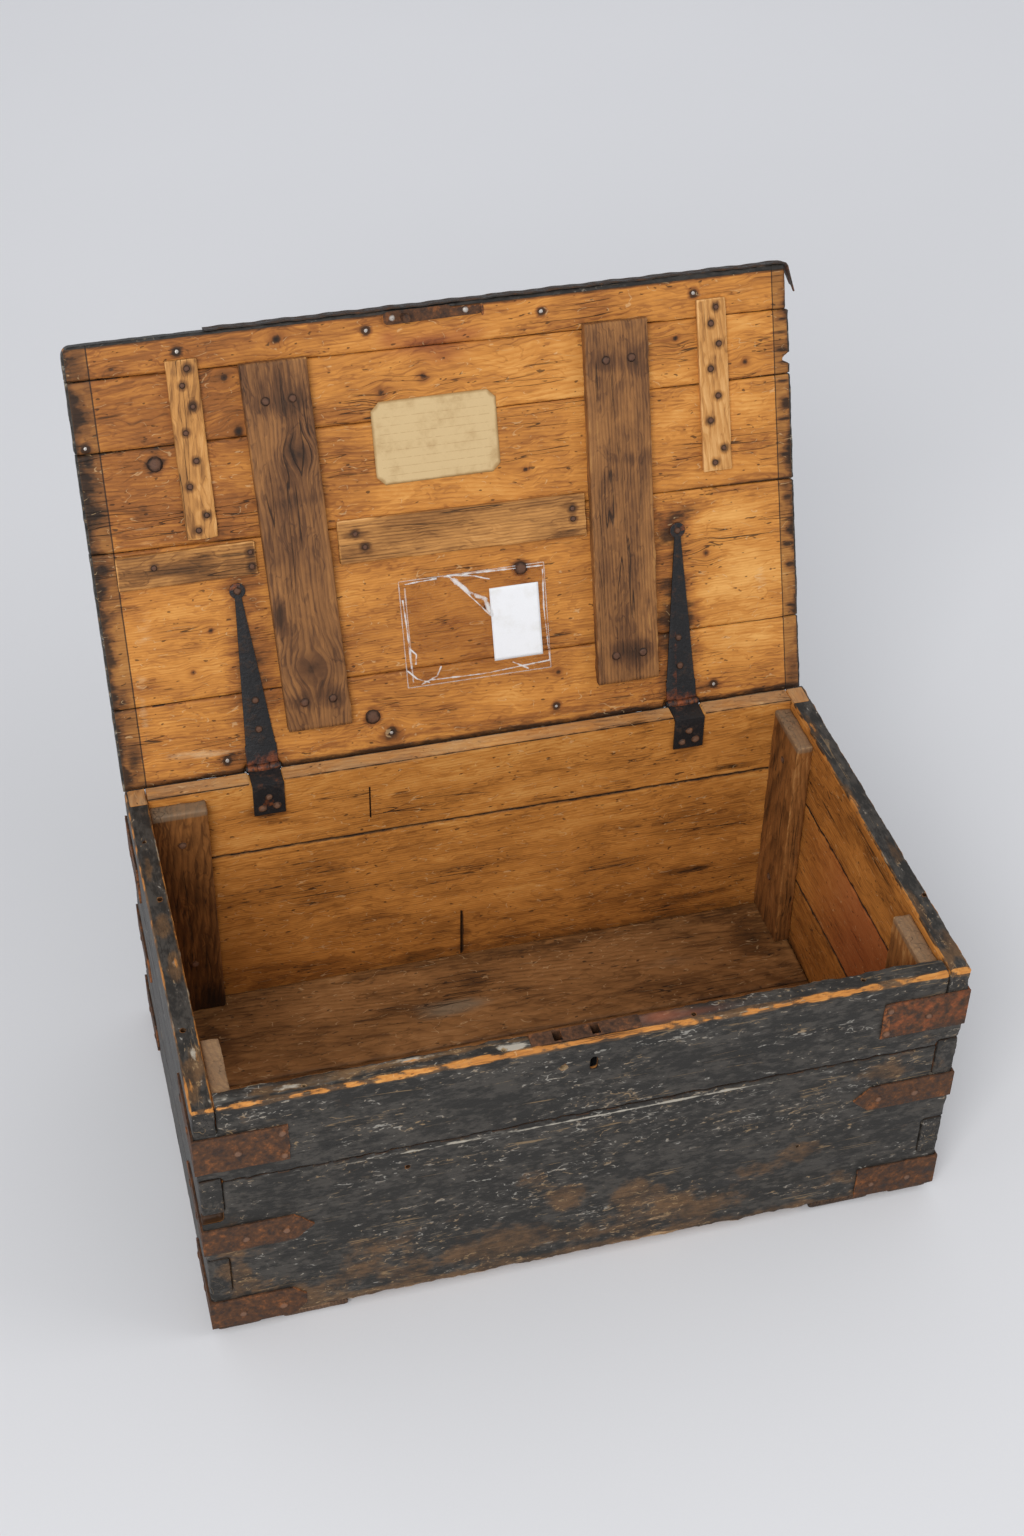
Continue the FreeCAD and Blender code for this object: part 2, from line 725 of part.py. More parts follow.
def hinges():
    hinge_leaf("hinge_leaf_left", "left_strap_place")
    hinge_leaf("hinge_leaf_right", "right_strap_place")
    hinge_strap("hinge_strap_left", "left_strap_place", "-1")
    hinge_strap("hinge_strap_right", "right_strap_place", "1")
    keep(group([hinge_pin("left_strap_place"), hinge_pin("right_strap_place")],
               "Part::Compound"), "hinge_pins")


# The lock. Its plate is let into the inner face of the front with the selvedge on
# the rim, and the cap over the works fills the mortise. A key lifts and throws the
# bolt, whose fingers pass through the staple under the lid.
def lock():
    left = "lock_place - lock_length / 2"
    face, back = "-inner_depth", "-inner_depth - lock_sheet"
    works = "rim - lock_height + cap_margin"
    plate = [block(left, back, "rim - lock_height", "lock_length", "lock_sheet", "lock_height"),
             block(left, face + " - selvedge_width", "rim - lock_sheet", "lock_length",
                   "selvedge_width", "lock_sheet")]
    ledge_top = "rim - bolt_drop - bolt_bar - lock_clearance"
    for middle in ("left_slot_place + slot_width * 2", "right_slot_place + slot_width * 2"):
        plate.append(block(middle, back + " - cap_depth + cap_sheet + lock_clearance",
                           ledge_top + " - ledge_height", "ledge_width",
                           "cap_depth - cap_sheet - lock_clearance", "ledge_height"))
    slots = [block(middle + " - slot_width / 2", "-lock_line - slot_length / 2",
                   "rim - 2 * lock_sheet", "slot_width", "slot_length", "4 * lock_sheet")
             for middle in ("left_slot_place", "right_slot_place")]
    holes = [block(x + " - tack_hole", "-inner_depth - lock_sheet - overrun", z + " - tack_hole",
                   "2 * tack_hole", "lock_sheet + 2 * overrun", "2 * tack_hole")
             for x, z in lock_nail_spots()]
    keep(cut(group(plate), *slots, *holes), "lock_plate")
    shell = block(left + " + cap_margin", back + " - cap_depth", works,
                  "lock_length - 2 * cap_margin", "cap_depth",
                  "lock_height - cap_margin - lock_sheet - lock_clearance")
    hollow = block(left + " + cap_margin + cap_sheet", back + " - cap_depth + cap_sheet",
                   works + " + cap_sheet", "lock_length - 2 * cap_margin - 2 * cap_sheet",
                   "cap_depth", "lock_height")
    keyway = block("-keyhole_width / 2", back + " - cap_depth - overrun",
                   "rim - keyhole_drop - keyhole_height", "keyhole_width", "2 * overrun",
                   "keyhole_height")
    keep(cut(shell, hollow, keyway), "lock_cap")
    pin = doc.addObject("Part::Cylinder", "KeyPin")
    bind(pin, "Radius", "key_pin_radius")
    bind(pin, "Height", "cap_depth - cap_sheet - lock_clearance")
    pin.Placement = FreeCAD.Placement(Vector(), FreeCAD.Rotation(Vector(1, 0, 0), 90))
    place(pin, "0", back, "rim - keyhole_drop - keyhole_width / 2")
    keep(pin, "key_pin")
    lock_bolt()
    lock_spring()


def lock_nail_spots():
    """Four nails near the corners of the lock plate."""
    inset = "cap_margin / 2"
    left, right = "lock_place - lock_length / 2 + ", "lock_place + lock_length / 2 - "
    low, high = "rim - lock_height + cap_margin * 2", "rim - cap_margin * 3"
    return [(left + inset, low), (right + inset, low), (left + inset, high),
            (right + inset, high)]


def lock_bolt():
    """A flat bar with two fingers, each on a post that clears the staple."""
    body = new_body()
    bar_top, bar_low = "rim - bolt_drop", "rim - bolt_drop - bolt_bar"
    finger_top = "rim - bolt_finger_drop"
    finger_low = finger_top + " - bolt_finger"
    points = [("left_slot_place + staple_radius + bolt_reach", bar_low)]
    notch = "bolt_talon / 2"
    tail = "lock_place + lock_length / 2 - cap_margin - cap_sheet - bolt_end_gap"
    points += [("-" + notch, bar_low), ("-" + notch, bar_low + " + bolt_bar / 2"),
               (notch, bar_low + " + bolt_bar / 2"), (notch, bar_low),
               (tail, bar_low), (tail, bar_top)]
    for slot in ("right_slot_place", "left_slot_place"):
        tip = slot + " + staple_radius + staple_play"
        post = slot + " + staple_radius + bolt_reach"
        points += [(post + " + bolt_post", bar_top), (post + " + bolt_post", finger_top),
                   (tip, finger_top), (tip, finger_low), (post, finger_low)]
        if slot == "right_slot_place":
            points.append((post, bar_top))
    pad(body, "front", "-lock_line + bolt_thickness / 2", "bolt_thickness", points)
    keep(body, "lock_bolt")


def lock_spring():
    """A leaf spring from the end of the cap down onto the bolt's tail."""
    body = new_body()
    wall = "lock_place + lock_length / 2 - cap_margin - cap_sheet"
    low = "rim - bolt_drop + lock_clearance"
    pad(body, "front", "-lock_line + bolt_thickness / 2", "bolt_thickness", (
        (wall, low + " + spring_rise"), (wall, low + " + spring_rise + spring_thickness"),
        (wall + " - spring_length", low + " + spring_thickness"),
        (wall + " - spring_length", low)))
    keep(body, "lock_spring")


# The lid. Everything on it is drawn closed, with the origin on the hinge line and
# y negative towards the front, and is then swung open. Distances from the lid's
# rear edge are turned into y by reach().
def reach(distance):
    return "-(hinge_set + %s)" % distance


LID_LINES = (("0 - rear_overhang", "0 - rear_overhang"), ("rear_seam_left", "rear_seam_right"),
             ("lower_seam_left", "lower_seam_right"), ("middle_seam_left", "middle_seam_right"),
             ("upper_seam_left", "upper_seam_right"), ("lid_front_left", "lid_front_right"))


def lid_boards():
    names = ("rear", "lower", "middle", "upper", "front")
    for index, name in enumerate(names):
        (low_left, low_right), (high_left, high_right) = LID_LINES[index:index + 2]
        under = " + seam_gap / 2" if index else ""
        over = " - seam_gap / 2" if name != "front" else ""
        trim = " - front_end_trim" if name == "front" else ""
        body = new_body()
        outline = [("-half_length", reach(low_left + under))]
        if name == "rear":
            outline += hinge_room(low_left)
        outline += [("half_length" + trim, reach(low_right + under))]
        if name == "upper":
            outline += broken_end(low_right)
        outline += [("half_length" + trim, reach(high_right + over)),
                    ("-half_length", reach(high_left + over))]
        pad(body, "top", "lid_face", "lid_thickness", outline)
        if name == "front":
            pocket(body, "top", "lid_face - overrun", "link_recess + overrun",
                   link_outline())
        on_lid(body)
        keep(body, "lid_board_" + name)


def hinge_room(rear):
    """Two notches in the lid's rear edge, so that it clears the knuckles and the pins' heads."""
    points = []
    half = "strap_width / 2 + pin_head + hinge_room"
    for middle in ("left_strap_place", "right_strap_place"):
        points += [(middle + " - (" + half + ")", reach(rear)),
                   (middle + " - (" + half + ")", reach("0")),
                   (middle + " + " + half, reach("0")),
                   (middle + " + " + half, reach(rear))]
    return points


def broken_end(low):
    """The notch and the split at the right end of the lid's upper board."""
    near = low + " + notch_place"
    split = low + " + split_place"
    return [("half_length", reach(near)),
            ("half_length - notch_depth", reach(near + " + notch_mouth / 4")),
            ("half_length", reach(near + " + notch_mouth")),
            ("half_length", reach(split)),
            ("half_length - split_depth", reach(split + " + split_width / 2")),
            ("half_length", reach(split + " + split_width"))]


def link_outline():
    """The link plate from below: a rounded left end, then a narrower right end."""
    middle = "-(hinge_y + lock_line)"
    low, high = middle + " + link_width / 2", middle + " - link_width / 2"
    corner = "link_width / 4"
    start, end = "link_start", "link_start + link_length"
    step = "link_start + link_broad_length"
    return [(start + " + " + corner, low), (end, low), (end, high + " + link_step"),
            (step, high + " + link_step"), (step, high),
            (start + " + " + corner, high), (start, high + " + " + corner),
            (start, low + " - " + corner)]


def lid_slab(name, points, thickness):
    """A flat piece on the inside of the lid."""
    body = new_body()
    pad(body, "top", "lid_face - (%s)" % thickness, thickness, points)
    on_lid(body)
    return keep(body, name)


def battens():
    low, high = reach("wide_batten_low"), reach("wide_batten_high")
    half = "wide_batten_width / 2"
    for side, middle, lean in (("left", "left_wide_place", "wide_batten_lean"),
                               ("right", "right_wide_place", "-wide_batten_lean")):
        foot = "%s + (%s)" % (middle, lean)
        lid_slab("wide_batten_" + side, (
            (foot + " - " + half, low), (foot + " + " + half, low),
            (middle + " + " + half, high), (middle + " - " + half, high)),
            "wide_batten_thickness")
    half = "narrow_batten_width / 2"
    low, high = reach("narrow_batten_low"), reach("narrow_batten_high")
    for side in ("left", "right"):
        middle = side + "_narrow_place"
        lid_slab("narrow_batten_" + side,
                 rectangle(middle + " - " + half, middle + " + " + half, low, high),
                 "narrow_batten_thickness")
    # the strips over the seam, the long one between the wide battens
    share = "((strip_low - wide_batten_low) / (wide_batten_high - wide_batten_low))"
    left = ("left_wide_place + wide_batten_lean * (1 - %s) + wide_batten_width / 2"
            " + strip_clearance + wide_batten_lean" % share)
    right = ("right_wide_place - wide_batten_lean - wide_batten_width / 2"
             " - strip_clearance")
    lid_slab("seam_strip_centre", (
        (left, reach("strip_low")), (right, reach("strip_low - seam_fall")),
        (right, reach("strip_low - seam_fall + centre_strip_height")),
        (left, reach("strip_low + centre_strip_height"))), "strip_thickness")
    lid_slab("seam_strip_left", rectangle(
        "left_strip_start", "left_strip_end", reach("strip_low + centre_strip_height / 20"),
        reach("strip_low + left_strip_height")), "strip_thickness")


RULES["seam_fall"] = ("(lower_seam_left - lower_seam_right)"
                      " * (right_wide_place - left_wide_place) / box_length / 2")


LINK_NAIL_SHARES = (0.09, 0.82)


def link():
    body = new_body()
    middle = "-(hinge_y + lock_line)"
    pad(body, "top", "link_face", "link_thickness", link_outline())
    end = "link_start + link_length"
    pad(body, "top", "link_face - link_thickness / 2", "link_thickness / 2",
        rectangle(end + " - link_lip", end, middle + " - link_width / 2 + link_step",
                  middle + " + link_width / 2"))
    holes = [("link_start + link_length * %s" % share, middle, "tack_hole")
             for share in LINK_NAIL_SHARES]
    pocket(body, "top", "link_face - overrun", "link_thickness + 2 * overrun", (), (), holes)
    on_lid(body)
    keep(body, "link_plate")
    # the staple is a round stud with an eye that the bolt's finger passes through
    body = new_body()
    drop = "(hinge_z - rim)"
    eye_low = "-%s - bolt_finger_drop - bolt_finger - staple_play" % drop
    eye_high = "-%s - bolt_finger_drop + staple_play" % drop
    gap = "bolt_thickness / 2 + staple_play"
    pad(body, "top", "-%s - staple_length" % drop, "staple_length + %s + link_face" % drop, (),
        [("left_slot_place", middle, "staple_radius")])
    pocket(body, "side", "left_slot_place - staple_radius - overrun",
           "2 * staple_radius + 2 * overrun",
           rectangle("%s - (%s)" % (middle, gap), "%s + %s" % (middle, gap), eye_low, eye_high))
    on_lid(body)
    keep(body, "link_staple")


def edging():
    """A thin strip along the lid's front edge whose torn end stands off at the corner."""
    slope = "((lid_front_right - lid_front_left) / (box_length - front_end_trim))"
    start_line = "lid_front_left + (edging_start + half_length) * %s" % slope
    end = "half_length - front_end_trim"
    line_end = "lid_front_right"
    thick = "edging_thickness"
    body = new_body()
    pad(body, "top", "lid_face", "lid_thickness", (
        ("edging_start", reach(start_line)), (end, reach(line_end)),
        (end + " + flap_spread", reach(line_end + " - flap_length")),
        (end + " + flap_spread + " + thick, reach(line_end + " - flap_length")),
        (end + " + 2 * " + thick, reach(line_end + " + " + thick)),
        ("edging_start", reach(start_line + " + " + thick))))
    on_lid(body)
    keep(body, "edging_strip")


PIN_LINE = reach("pocket_low + pocket_height - pocket_pin_inset")


def papers():
    left, right = "label_place - label_length / 2", "label_place + label_length / 2"
    low, high = "label_low", "label_low + label_height"
    lid_slab("paper_label", (
        (left + " + label_clip", reach(low)), (right + " - label_clip", reach(low)),
        (right, reach(low + " + label_clip")), (right, reach(high + " - label_clip")),
        (right + " - label_clip", reach(high)), (left + " + label_clip", reach(high)),
        (left, reach(high + " - label_clip")), (left, reach(low + " + label_clip"))),
        "paper_thickness")
    # the pocket is two films joined at their edges, with the card between them
    body = new_body()
    outer = rectangle("pocket_place - pocket_length / 2", "pocket_place + pocket_length / 2",
                      reach("pocket_low + pocket_height"), reach("pocket_low"))
    inner = rectangle("pocket_place - pocket_length / 2 + label_clip / 4",
                      "pocket_place + pocket_length / 2 - label_clip / 4",
                      reach("pocket_low + pocket_height + overrun"),
                      reach("pocket_low + label_clip / 4"))
    pad(body, "top", "lid_face - pocket_room", "pocket_room", outer)
    pocket(body, "top", "lid_face - pocket_room + film_thickness",
           "pocket_room - 2 * film_thickness", inner)
    pocket(body, "top", "lid_face - pocket_room - overrun", "pocket_room + 2 * overrun", (), (),
           [("pocket_pin_place", PIN_LINE, "pocket_hole")])
    on_lid(body)
    keep(body, "card_pocket")
    body = new_body()
    pad(body, "top", "lid_face - film_thickness - paper_thickness", "paper_thickness",
        rectangle("card_place - card_length / 2", "card_place + card_length / 2",
                  reach("card_low + card_height"), reach("card_low")))
    on_lid(body)
    keep(body, "blank_card")


# The nails are forged: a four-sided head on a square shank that tapers to its tip.
# Their places follow the pieces that they hold.
def nail(kind, at, out):
    head, rise = number(kind + "_head / 2"), number(kind + "_rise")
    shank, length = number(kind + "_shank / 2"), number(kind + "_length")
    top, tip = head / 4, shank / 4
    cap = Part.makeWedge(-head, 0, -head, -top, -top, head, rise, head, top, top)
    stem = Part.makeWedge(-tip, -length, -tip, -shank, -shank, tip, 0, tip, shank, shank)
    whole = cap.fuse(stem)
    whole.Placement = FreeCAD.Placement(at, FreeCAD.Rotation(Vector(0, 1, 0), out))
    return whole


def nail_group(name, nails, lid=False):
    item = doc.addObject("Part::Feature", "Nails")
    item.Shape = Part.Compound([nail(kind, Vector(*(number(text) for text in at)), out)
                                for kind, at, out in nails])
    if lid:
        item.Placement = parts["lid_board_rear"].Placement
    keep(item, name)


def iron_nails():
    nails = []
    for turn, end, u, v, leg in iron_spots:
        if leg == "long":
            at = ("%d * (%s)" % (turn, u), "%d * (half_depth + iron_thickness)" % end, v)
            nails.append(("iron_nail", at, Vector(0, end, 0)))
        else:
            at = ("%d * (half_length + iron_thickness)" % turn, "%d * (%s)" % (end, u), v)
            nails.append(("iron_nail", at, Vector(turn, 0, 0)))
    nail_group("iron_nails", nails)


POST_NAIL_SHARES = (0.15, 0.75)


def post_nails():
    """Two nails through each post, one high and one low."""
    nails = []
    face = "inner_length - post_thickness"
    for share in POST_NAIL_SHARES:
        z = "rim - post_drop - (board_height - floor_thickness - post_drop) * %s" % share
        side = "post_setback + post_width / 2"
        spots = (("-(%s)" % face, "-inner_depth + " + side, Vector(1, 0, 0)),
                 (face, "-inner_depth + " + side, Vector(-1, 0, 0)),
                 (face, "inner_depth - post_width / 2", Vector(-1, 0, 0)),
                 ("-inner_length + back_post_width / 2", "inner_depth - post_thickness",
                  Vector(0, -1, 0)))
        nails += [("board_nail", (x, y, z), out) for x, y, out in spots]
    nail_group("post_nails", nails)


def hinge_nails():
    nails = []
    for middle in ("left_strap_place", "right_strap_place"):
        for across, down in LEAF_NAIL_SHARES:
            nails.append(("iron_nail", (
                "%s + strap_width * %s" % (middle, across), "inner_depth - leaf_thickness",
                "hinge_z - leaf_gap - leaf_drop * %s" % down), Vector(0, -1, 0)))
    nail_group("leaf_nails", nails)
    rivets = []
    for middle, lean in (("left_strap_place", "-1"), ("right_strap_place", "1")):
        for lean_share, share in STRAP_NAIL_SHARES:
            rivets.append(("iron_nail", (
                "%s + %s * strap_lean * %s" % (middle, lean, lean_share),
                "-(hinge_set + strap_length * %s)" % share, "leaf_gap"), Vector(0, 0, -1)))
    nail_group("strap_rivets", rivets, lid=True)


# Places of the batten nails as shares of each batten's width and length.
WIDE_NAIL_SHARES = ((-0.2, 0.08), (0.24, 0.08), (-0.18, 0.9), (0.22, 0.9))
NARROW_NAIL_SHARES = ((-0.1, 0.05), (0.22, 0.13), (-0.2, 0.3), (0.1, 0.44), (-0.12, 0.6),
                      (0.2, 0.74), (-0.05, 0.86), (0.15, 0.95))


def batten_nails():
    nails = []
    for side, turn in (("left", "1"), ("right", "-1")):
        for across, up in WIDE_NAIL_SHARES:
            x = ("%s_wide_place + wide_batten_lean * %s * %s + wide_batten_width * %s"
                 % (side, turn, 1 - up, across))
            y = reach("wide_batten_low + (wide_batten_high - wide_batten_low) * %s" % up)
            nails.append(("board_nail", (x, y, "lid_face - wide_batten_thickness"),
                          Vector(0, 0, -1)))
        for across, up in NARROW_NAIL_SHARES:
            x = "%s_narrow_place + narrow_batten_width * %s" % (side, across)
            y = reach("narrow_batten_low + (narrow_batten_high - narrow_batten_low) * %s" % up)
            nails.append(("strip_nail", (x, y, "lid_face - narrow_batten_thickness"),
                          Vector(0, 0, -1)))
    face = "lid_face - strip_thickness"
    inset = "strip_nail_head * 3"
    middle = reach("strip_low + centre_strip_height / 2")
    left_end = "left_wide_place + wide_batten_width / 2 + 2 * wide_batten_lean + "
    right_end = "right_wide_place - wide_batten_width / 2 - wide_batten_lean - "
    spots = [(left_end + inset, middle + " - " + inset + " / 2"),
             (left_end + inset + " * 1.6", middle + " + " + inset + " / 2"),
             (right_end + inset, middle + " - " + inset + " / 4"),
             (right_end + inset, middle + " + " + inset + " / 2"),
             ("left_strip_end - strip_nail_head", reach("strip_low + left_strip_height * 0.7")),
             ("left_strip_end - strip_nail_head", reach("strip_low + left_strip_height * 0.3")),
             ("left_strip_start + " + inset + " * 2.5", middle)]
    nails += [("strip_nail", (x, y, face), Vector(0, 0, -1)) for x, y in spots]
    nail_group("batten_nails", nails, lid=True)


# Places of the loose nails as shares of half the lid's length and of its depth.
ROSE_SHARES = ((-0.796, 0.725), (-0.282, 0.07))
TACK_SHARES = ((-0.702, 0.965), (-0.196, 0.963), (0.289, 0.962), (-0.971, 0.778),
               (0.724, 0.963), (-0.704, 0.016), (-0.233, 0.024), (0.253, 0.027),
               (0.731, 0.022))


def loose_nails():
    def spots(kind, shares, level):
        return [(kind, ("half_length * %s" % along, reach("lid_front_left * %s" % up),
                        level), Vector(0, 0, -1)) for along, up in shares]
    pin = ("rose_nail", ("pocket_pin_place", PIN_LINE, "lid_face - pocket_room"),
           Vector(0, 0, -1))
    nail_group("rose_nails", spots("rose_nail", ROSE_SHARES, "lid_face") + [pin], lid=True)
    # the tacks over the rim are driven in until the lid can close on them
    sunk = "lid_face + tack_rise - tack_proud"
    nail_group("edge_tacks", spots("tack", TACK_SHARES, sunk), lid=True)
    middle = "-(hinge_y + lock_line)"
    nail_group("link_rivets", [
        ("tack", ("link_start + link_length * %s" % share, middle, "link_face"),
         Vector(0, 0, -1)) for share in LINK_NAIL_SHARES], lid=True)
    nail_group("lock_nails", [("tack", (x, "-inner_depth", z), Vector(0, 1, 0))
                              for x, z in lock_nail_spots()])


walls()
floor_boards()
skid_pair("outer_skids", "outer_skid_inset", "outer_skid_width")
skid_pair("inner_skids", "inner_skid_inset", "inner_skid_width")
posts()
irons()
hinges()
lock()
lid_boards()
battens()
link()
edging()
papers()
doc.recompute()
iron_nails()
post_nails()
hinge_nails()
batten_nails()
loose_nails()
doc.recompute()

# Nothing is written unless every object and every piece is sound.
for item in doc.Objects:
    if "Invalid" in item.State or "Error" in item.State:
        raise RuntimeError("failed: %s %s" % (item.Name, item.Label))
    if item.TypeId == "PartDesign::Pocket":
        if item.Shape.Volume >= item.BaseFeature.Shape.Volume:
            raise RuntimeError("this cut removes nothing: " + item.Name)
os.makedirs("parts", exist_ok=True)
for name, item in parts.items():
    shape = item.Shape
    if shape.isNull() or not shape.isValid() or not shape.Solids:
        raise RuntimeError("bad shape: " + name)
for name, item in parts.items():
    item.Shape.exportStep("parts/%s.step" % name)
    print(name, len(item.Shape.Solids), round(item.Shape.Volume / 1000, 2))
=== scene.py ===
# %% [markdown]
# # A sailor's chest, open
# The joiner's work comes from the CAD model: boards, posts, irons, hinges and lock at their real sizes.
# Here the chest gets its age. Boards are worn, paint is rubbed through, iron rusts and paper yellows.
# Every cell does one step and prints what it made, so that each can be run and looked at by itself.

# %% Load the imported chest
import json
import math
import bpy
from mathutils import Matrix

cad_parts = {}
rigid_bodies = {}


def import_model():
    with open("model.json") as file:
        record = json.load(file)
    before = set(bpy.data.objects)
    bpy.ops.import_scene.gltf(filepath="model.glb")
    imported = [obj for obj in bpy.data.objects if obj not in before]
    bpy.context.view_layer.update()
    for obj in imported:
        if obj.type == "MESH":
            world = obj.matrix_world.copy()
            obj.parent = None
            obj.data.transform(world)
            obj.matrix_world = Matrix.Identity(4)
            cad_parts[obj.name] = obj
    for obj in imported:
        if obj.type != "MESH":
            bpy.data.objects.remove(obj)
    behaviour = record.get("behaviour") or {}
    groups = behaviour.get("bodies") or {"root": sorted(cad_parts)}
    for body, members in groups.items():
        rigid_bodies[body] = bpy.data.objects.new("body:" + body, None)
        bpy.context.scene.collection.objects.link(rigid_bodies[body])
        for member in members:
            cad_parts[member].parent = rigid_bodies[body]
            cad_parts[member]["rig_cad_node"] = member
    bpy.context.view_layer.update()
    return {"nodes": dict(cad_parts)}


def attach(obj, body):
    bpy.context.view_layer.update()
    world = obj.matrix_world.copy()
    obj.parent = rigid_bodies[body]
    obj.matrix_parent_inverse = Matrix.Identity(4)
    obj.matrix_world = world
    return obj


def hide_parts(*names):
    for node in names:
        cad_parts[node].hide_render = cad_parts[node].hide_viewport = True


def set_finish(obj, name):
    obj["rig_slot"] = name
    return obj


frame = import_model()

from types import SimpleNamespace

import bpy
import numpy as np
from mathutils import Matrix, Vector

nodes = frame["nodes"]

# %% [markdown]
# ## The floor
# A photographer's table is one sheet of pale paper. It could be a curved sweep, but this camera looks down
# so steeply that it sees only floor, so one large plane is enough. It lies a hair under the skids, so that
# the two never flicker through each other, and gets its finish near the end.

# %% A pale floor
floor_size, hair = 40, 0.0005  # metres
bpy.ops.object.select_all(action="DESELECT")
bpy.ops.mesh.primitive_plane_add(size=floor_size, location=(0, 0, -hair))
floor = bpy.context.active_object
floor.name = "floor_paper"
bpy.ops.object.transform_apply(location=True, rotation=True, scale=True)
print("floor", floor.dimensions[:2])

# %% [markdown]
# ## The camera
# The photograph was taken from above the left front corner, a little more than two metres away.
# The place and the three turns were found from the chest's corners, and are written as yaw, pitch and roll.
# The lens follows from a focal length in pixels, for a picture 1536 pixels high.

# %% The photographer's camera
yaw, pitch, roll = (math.radians(a) for a in (-15.567, 39.609, -1.065))
stand = (-0.5564, -1.9061, 2.1941)
focal, picture_height, film_height = 2245.84, 1536, 36
forward = Vector((-math.sin(yaw) * math.cos(pitch), math.cos(yaw) * math.cos(pitch), -math.sin(pitch)))
right = Vector((math.cos(yaw), math.sin(yaw), 0))
down = forward.cross(right)
across = right * math.cos(roll) + down * math.sin(roll)
below = down * math.cos(roll) - right * math.sin(roll)
camera = bpy.data.objects.new("camera", bpy.data.cameras.new("camera"))
bpy.context.scene.collection.objects.link(camera)
camera.data.sensor_fit = "VERTICAL"
camera.data.sensor_width = camera.data.sensor_height = film_height
camera.data.lens = focal * film_height / picture_height
camera.data.clip_end = 60
camera.matrix_world = Matrix((
    (across.x, -below.x, -forward.x, stand[0]),
    (across.y, -below.y, -forward.y, stand[1]),
    (across.z, -below.z, -forward.z, stand[2]),
    (0, 0, 0, 1)))
bpy.context.scene.camera = camera
print("lens", round(camera.data.lens, 2), "mm")

# %% [markdown]
# ## The light
# Soft studio light wraps round dark paint and still models the grain. A big lamp stands to the left and
# above, a weaker one to the right, and the grey sky of the world fills the rest.

# %% Two soft lamps and a grey sky
def srgb(text, alpha=1.0):
    """A colour as painters write it, #RRGGBB, in the linear numbers that shaders use."""
    parts = [int(text[i:i + 2], 16) / 255 for i in (1, 3, 5)]
    return (*[p / 12.92 if p <= 0.04045 else ((p + 0.055) / 1.055) ** 2.4 for p in parts], alpha)


def softbox(name, place, aim, size, watts):
    """A square lamp that faces a point."""
    lamp = bpy.data.objects.new(name, bpy.data.lights.new(name, "AREA"))
    bpy.context.scene.collection.objects.link(lamp)
    lamp.data.shape, lamp.data.size, lamp.data.energy = "SQUARE", size, watts
    lamp.location = place
    lamp.rotation_mode = "QUATERNION"
    lamp.rotation_quaternion = (Vector(aim) - Vector(place)).to_track_quat("-Z", "Y")
    return lamp


softbox("lamp_left", (-1.7, -3.0, 2.9), (0, 0.1, 0.4), 2.0, 112)
softbox("lamp_right", (2.8, -1.2, 2.6), (0, 0, 0.3), 1.8, 22)
world = bpy.data.worlds.new("sky")
bpy.context.scene.world = world
world.use_nodes = True
world.node_tree.nodes["Background"].inputs["Color"].default_value = srgb("#F4F6FA")
world.node_tree.nodes["Background"].inputs["Strength"].default_value = 0.62
bpy.context.scene.view_settings.view_transform = "Standard"

# %% [markdown]
# ## How a finish is written
# A material is a tree of nodes. Written out one by one, the maths hides what it is for, so a small class
# wraps each output and lets Python's own signs add the Math nodes: `1 - soot * 0.5` is two nodes.

# %% Levels and finishes
class Level:
    """One output of a node, used like a number."""

    def __init__(self, finish, socket):
        self.finish, self.socket = finish, socket

    def _math(self, operation, first, second):
        return self.finish.node("ShaderNodeMath", {"operation": operation}, {0: first, 1: second})

    def __add__(self, other):
        return self._math("ADD", self, other)

    def __sub__(self, other):
        return self._math("SUBTRACT", self, other)

    def __mul__(self, other):
        return self._math("MULTIPLY", self, other)

    def __truediv__(self, other):
        return self._math("DIVIDE", self, other)

    def __rsub__(self, other):
        return self._math("SUBTRACT", other, self)

    __radd__, __rmul__ = __add__, __mul__


class Finish:
    """A material, with one method that adds any node."""

    def __init__(self, name):
        self.material = bpy.data.materials.new(name)
        self.material.use_nodes = True
        self.tree = self.material.node_tree
        self.shader = self.tree.nodes["Principled BSDF"]

    def node(self, kind, settings=None, sockets=None, out=0):
        """Adds a node: its settings first, then its sockets' values or links."""
        node = self.tree.nodes.new(kind)
        for key, value in (settings or {}).items():
            if key == "stops":
                while len(node.color_ramp.elements) < len(value):
                    node.color_ramp.elements.new(1)
                for stop, (place, colour) in zip(node.color_ramp.elements, value):
                    stop.position, stop.color = place, colour
            else:
                setattr(node, key, value)
        for key, value in (sockets or {}).items():
            self.put(node.inputs[key], value)
        return Level(self, node.outputs[out])

    def put(self, socket, value):
        if isinstance(value, Level):
            self.tree.links.new(value.socket, socket)
        else:
            socket.default_value = value[:3] if socket.type == "VECTOR" else value

    def set(self, **sockets):
        """Fills the shader's own sockets, written with _ for each space."""
        for key, value in sockets.items():
            self.put(self.shader.inputs[key.replace("_", " ")], value)
        return self.material


print("a level knows", [n for n in dir(Level) if n.startswith("__r") and "math" not in n and len(n) < 14])

# %% [markdown]
# ## Words for a finish
# A few short words are used in every finish: noise that can be stretched along the grain, a soft step from
# nothing to all, a mix of two colours, and thin wandering lines, which are where a noise crosses its middle.

# %% The words
def stretch(f, where, x, y, z, shift=(0, 0, 0)):
    """The same place, measured in units of another length along each axis."""
    return f.node("ShaderNodeVectorMath", {"operation": "MULTIPLY_ADD"}, {0: where, 1: (x, y, z), 2: shift})


def noise(f, where, scale=1.0, detail=3.0, rough=0.55):
    return f.node("ShaderNodeTexNoise", {}, {"Vector": where, "Scale": scale, "Detail": detail, "Roughness": rough})


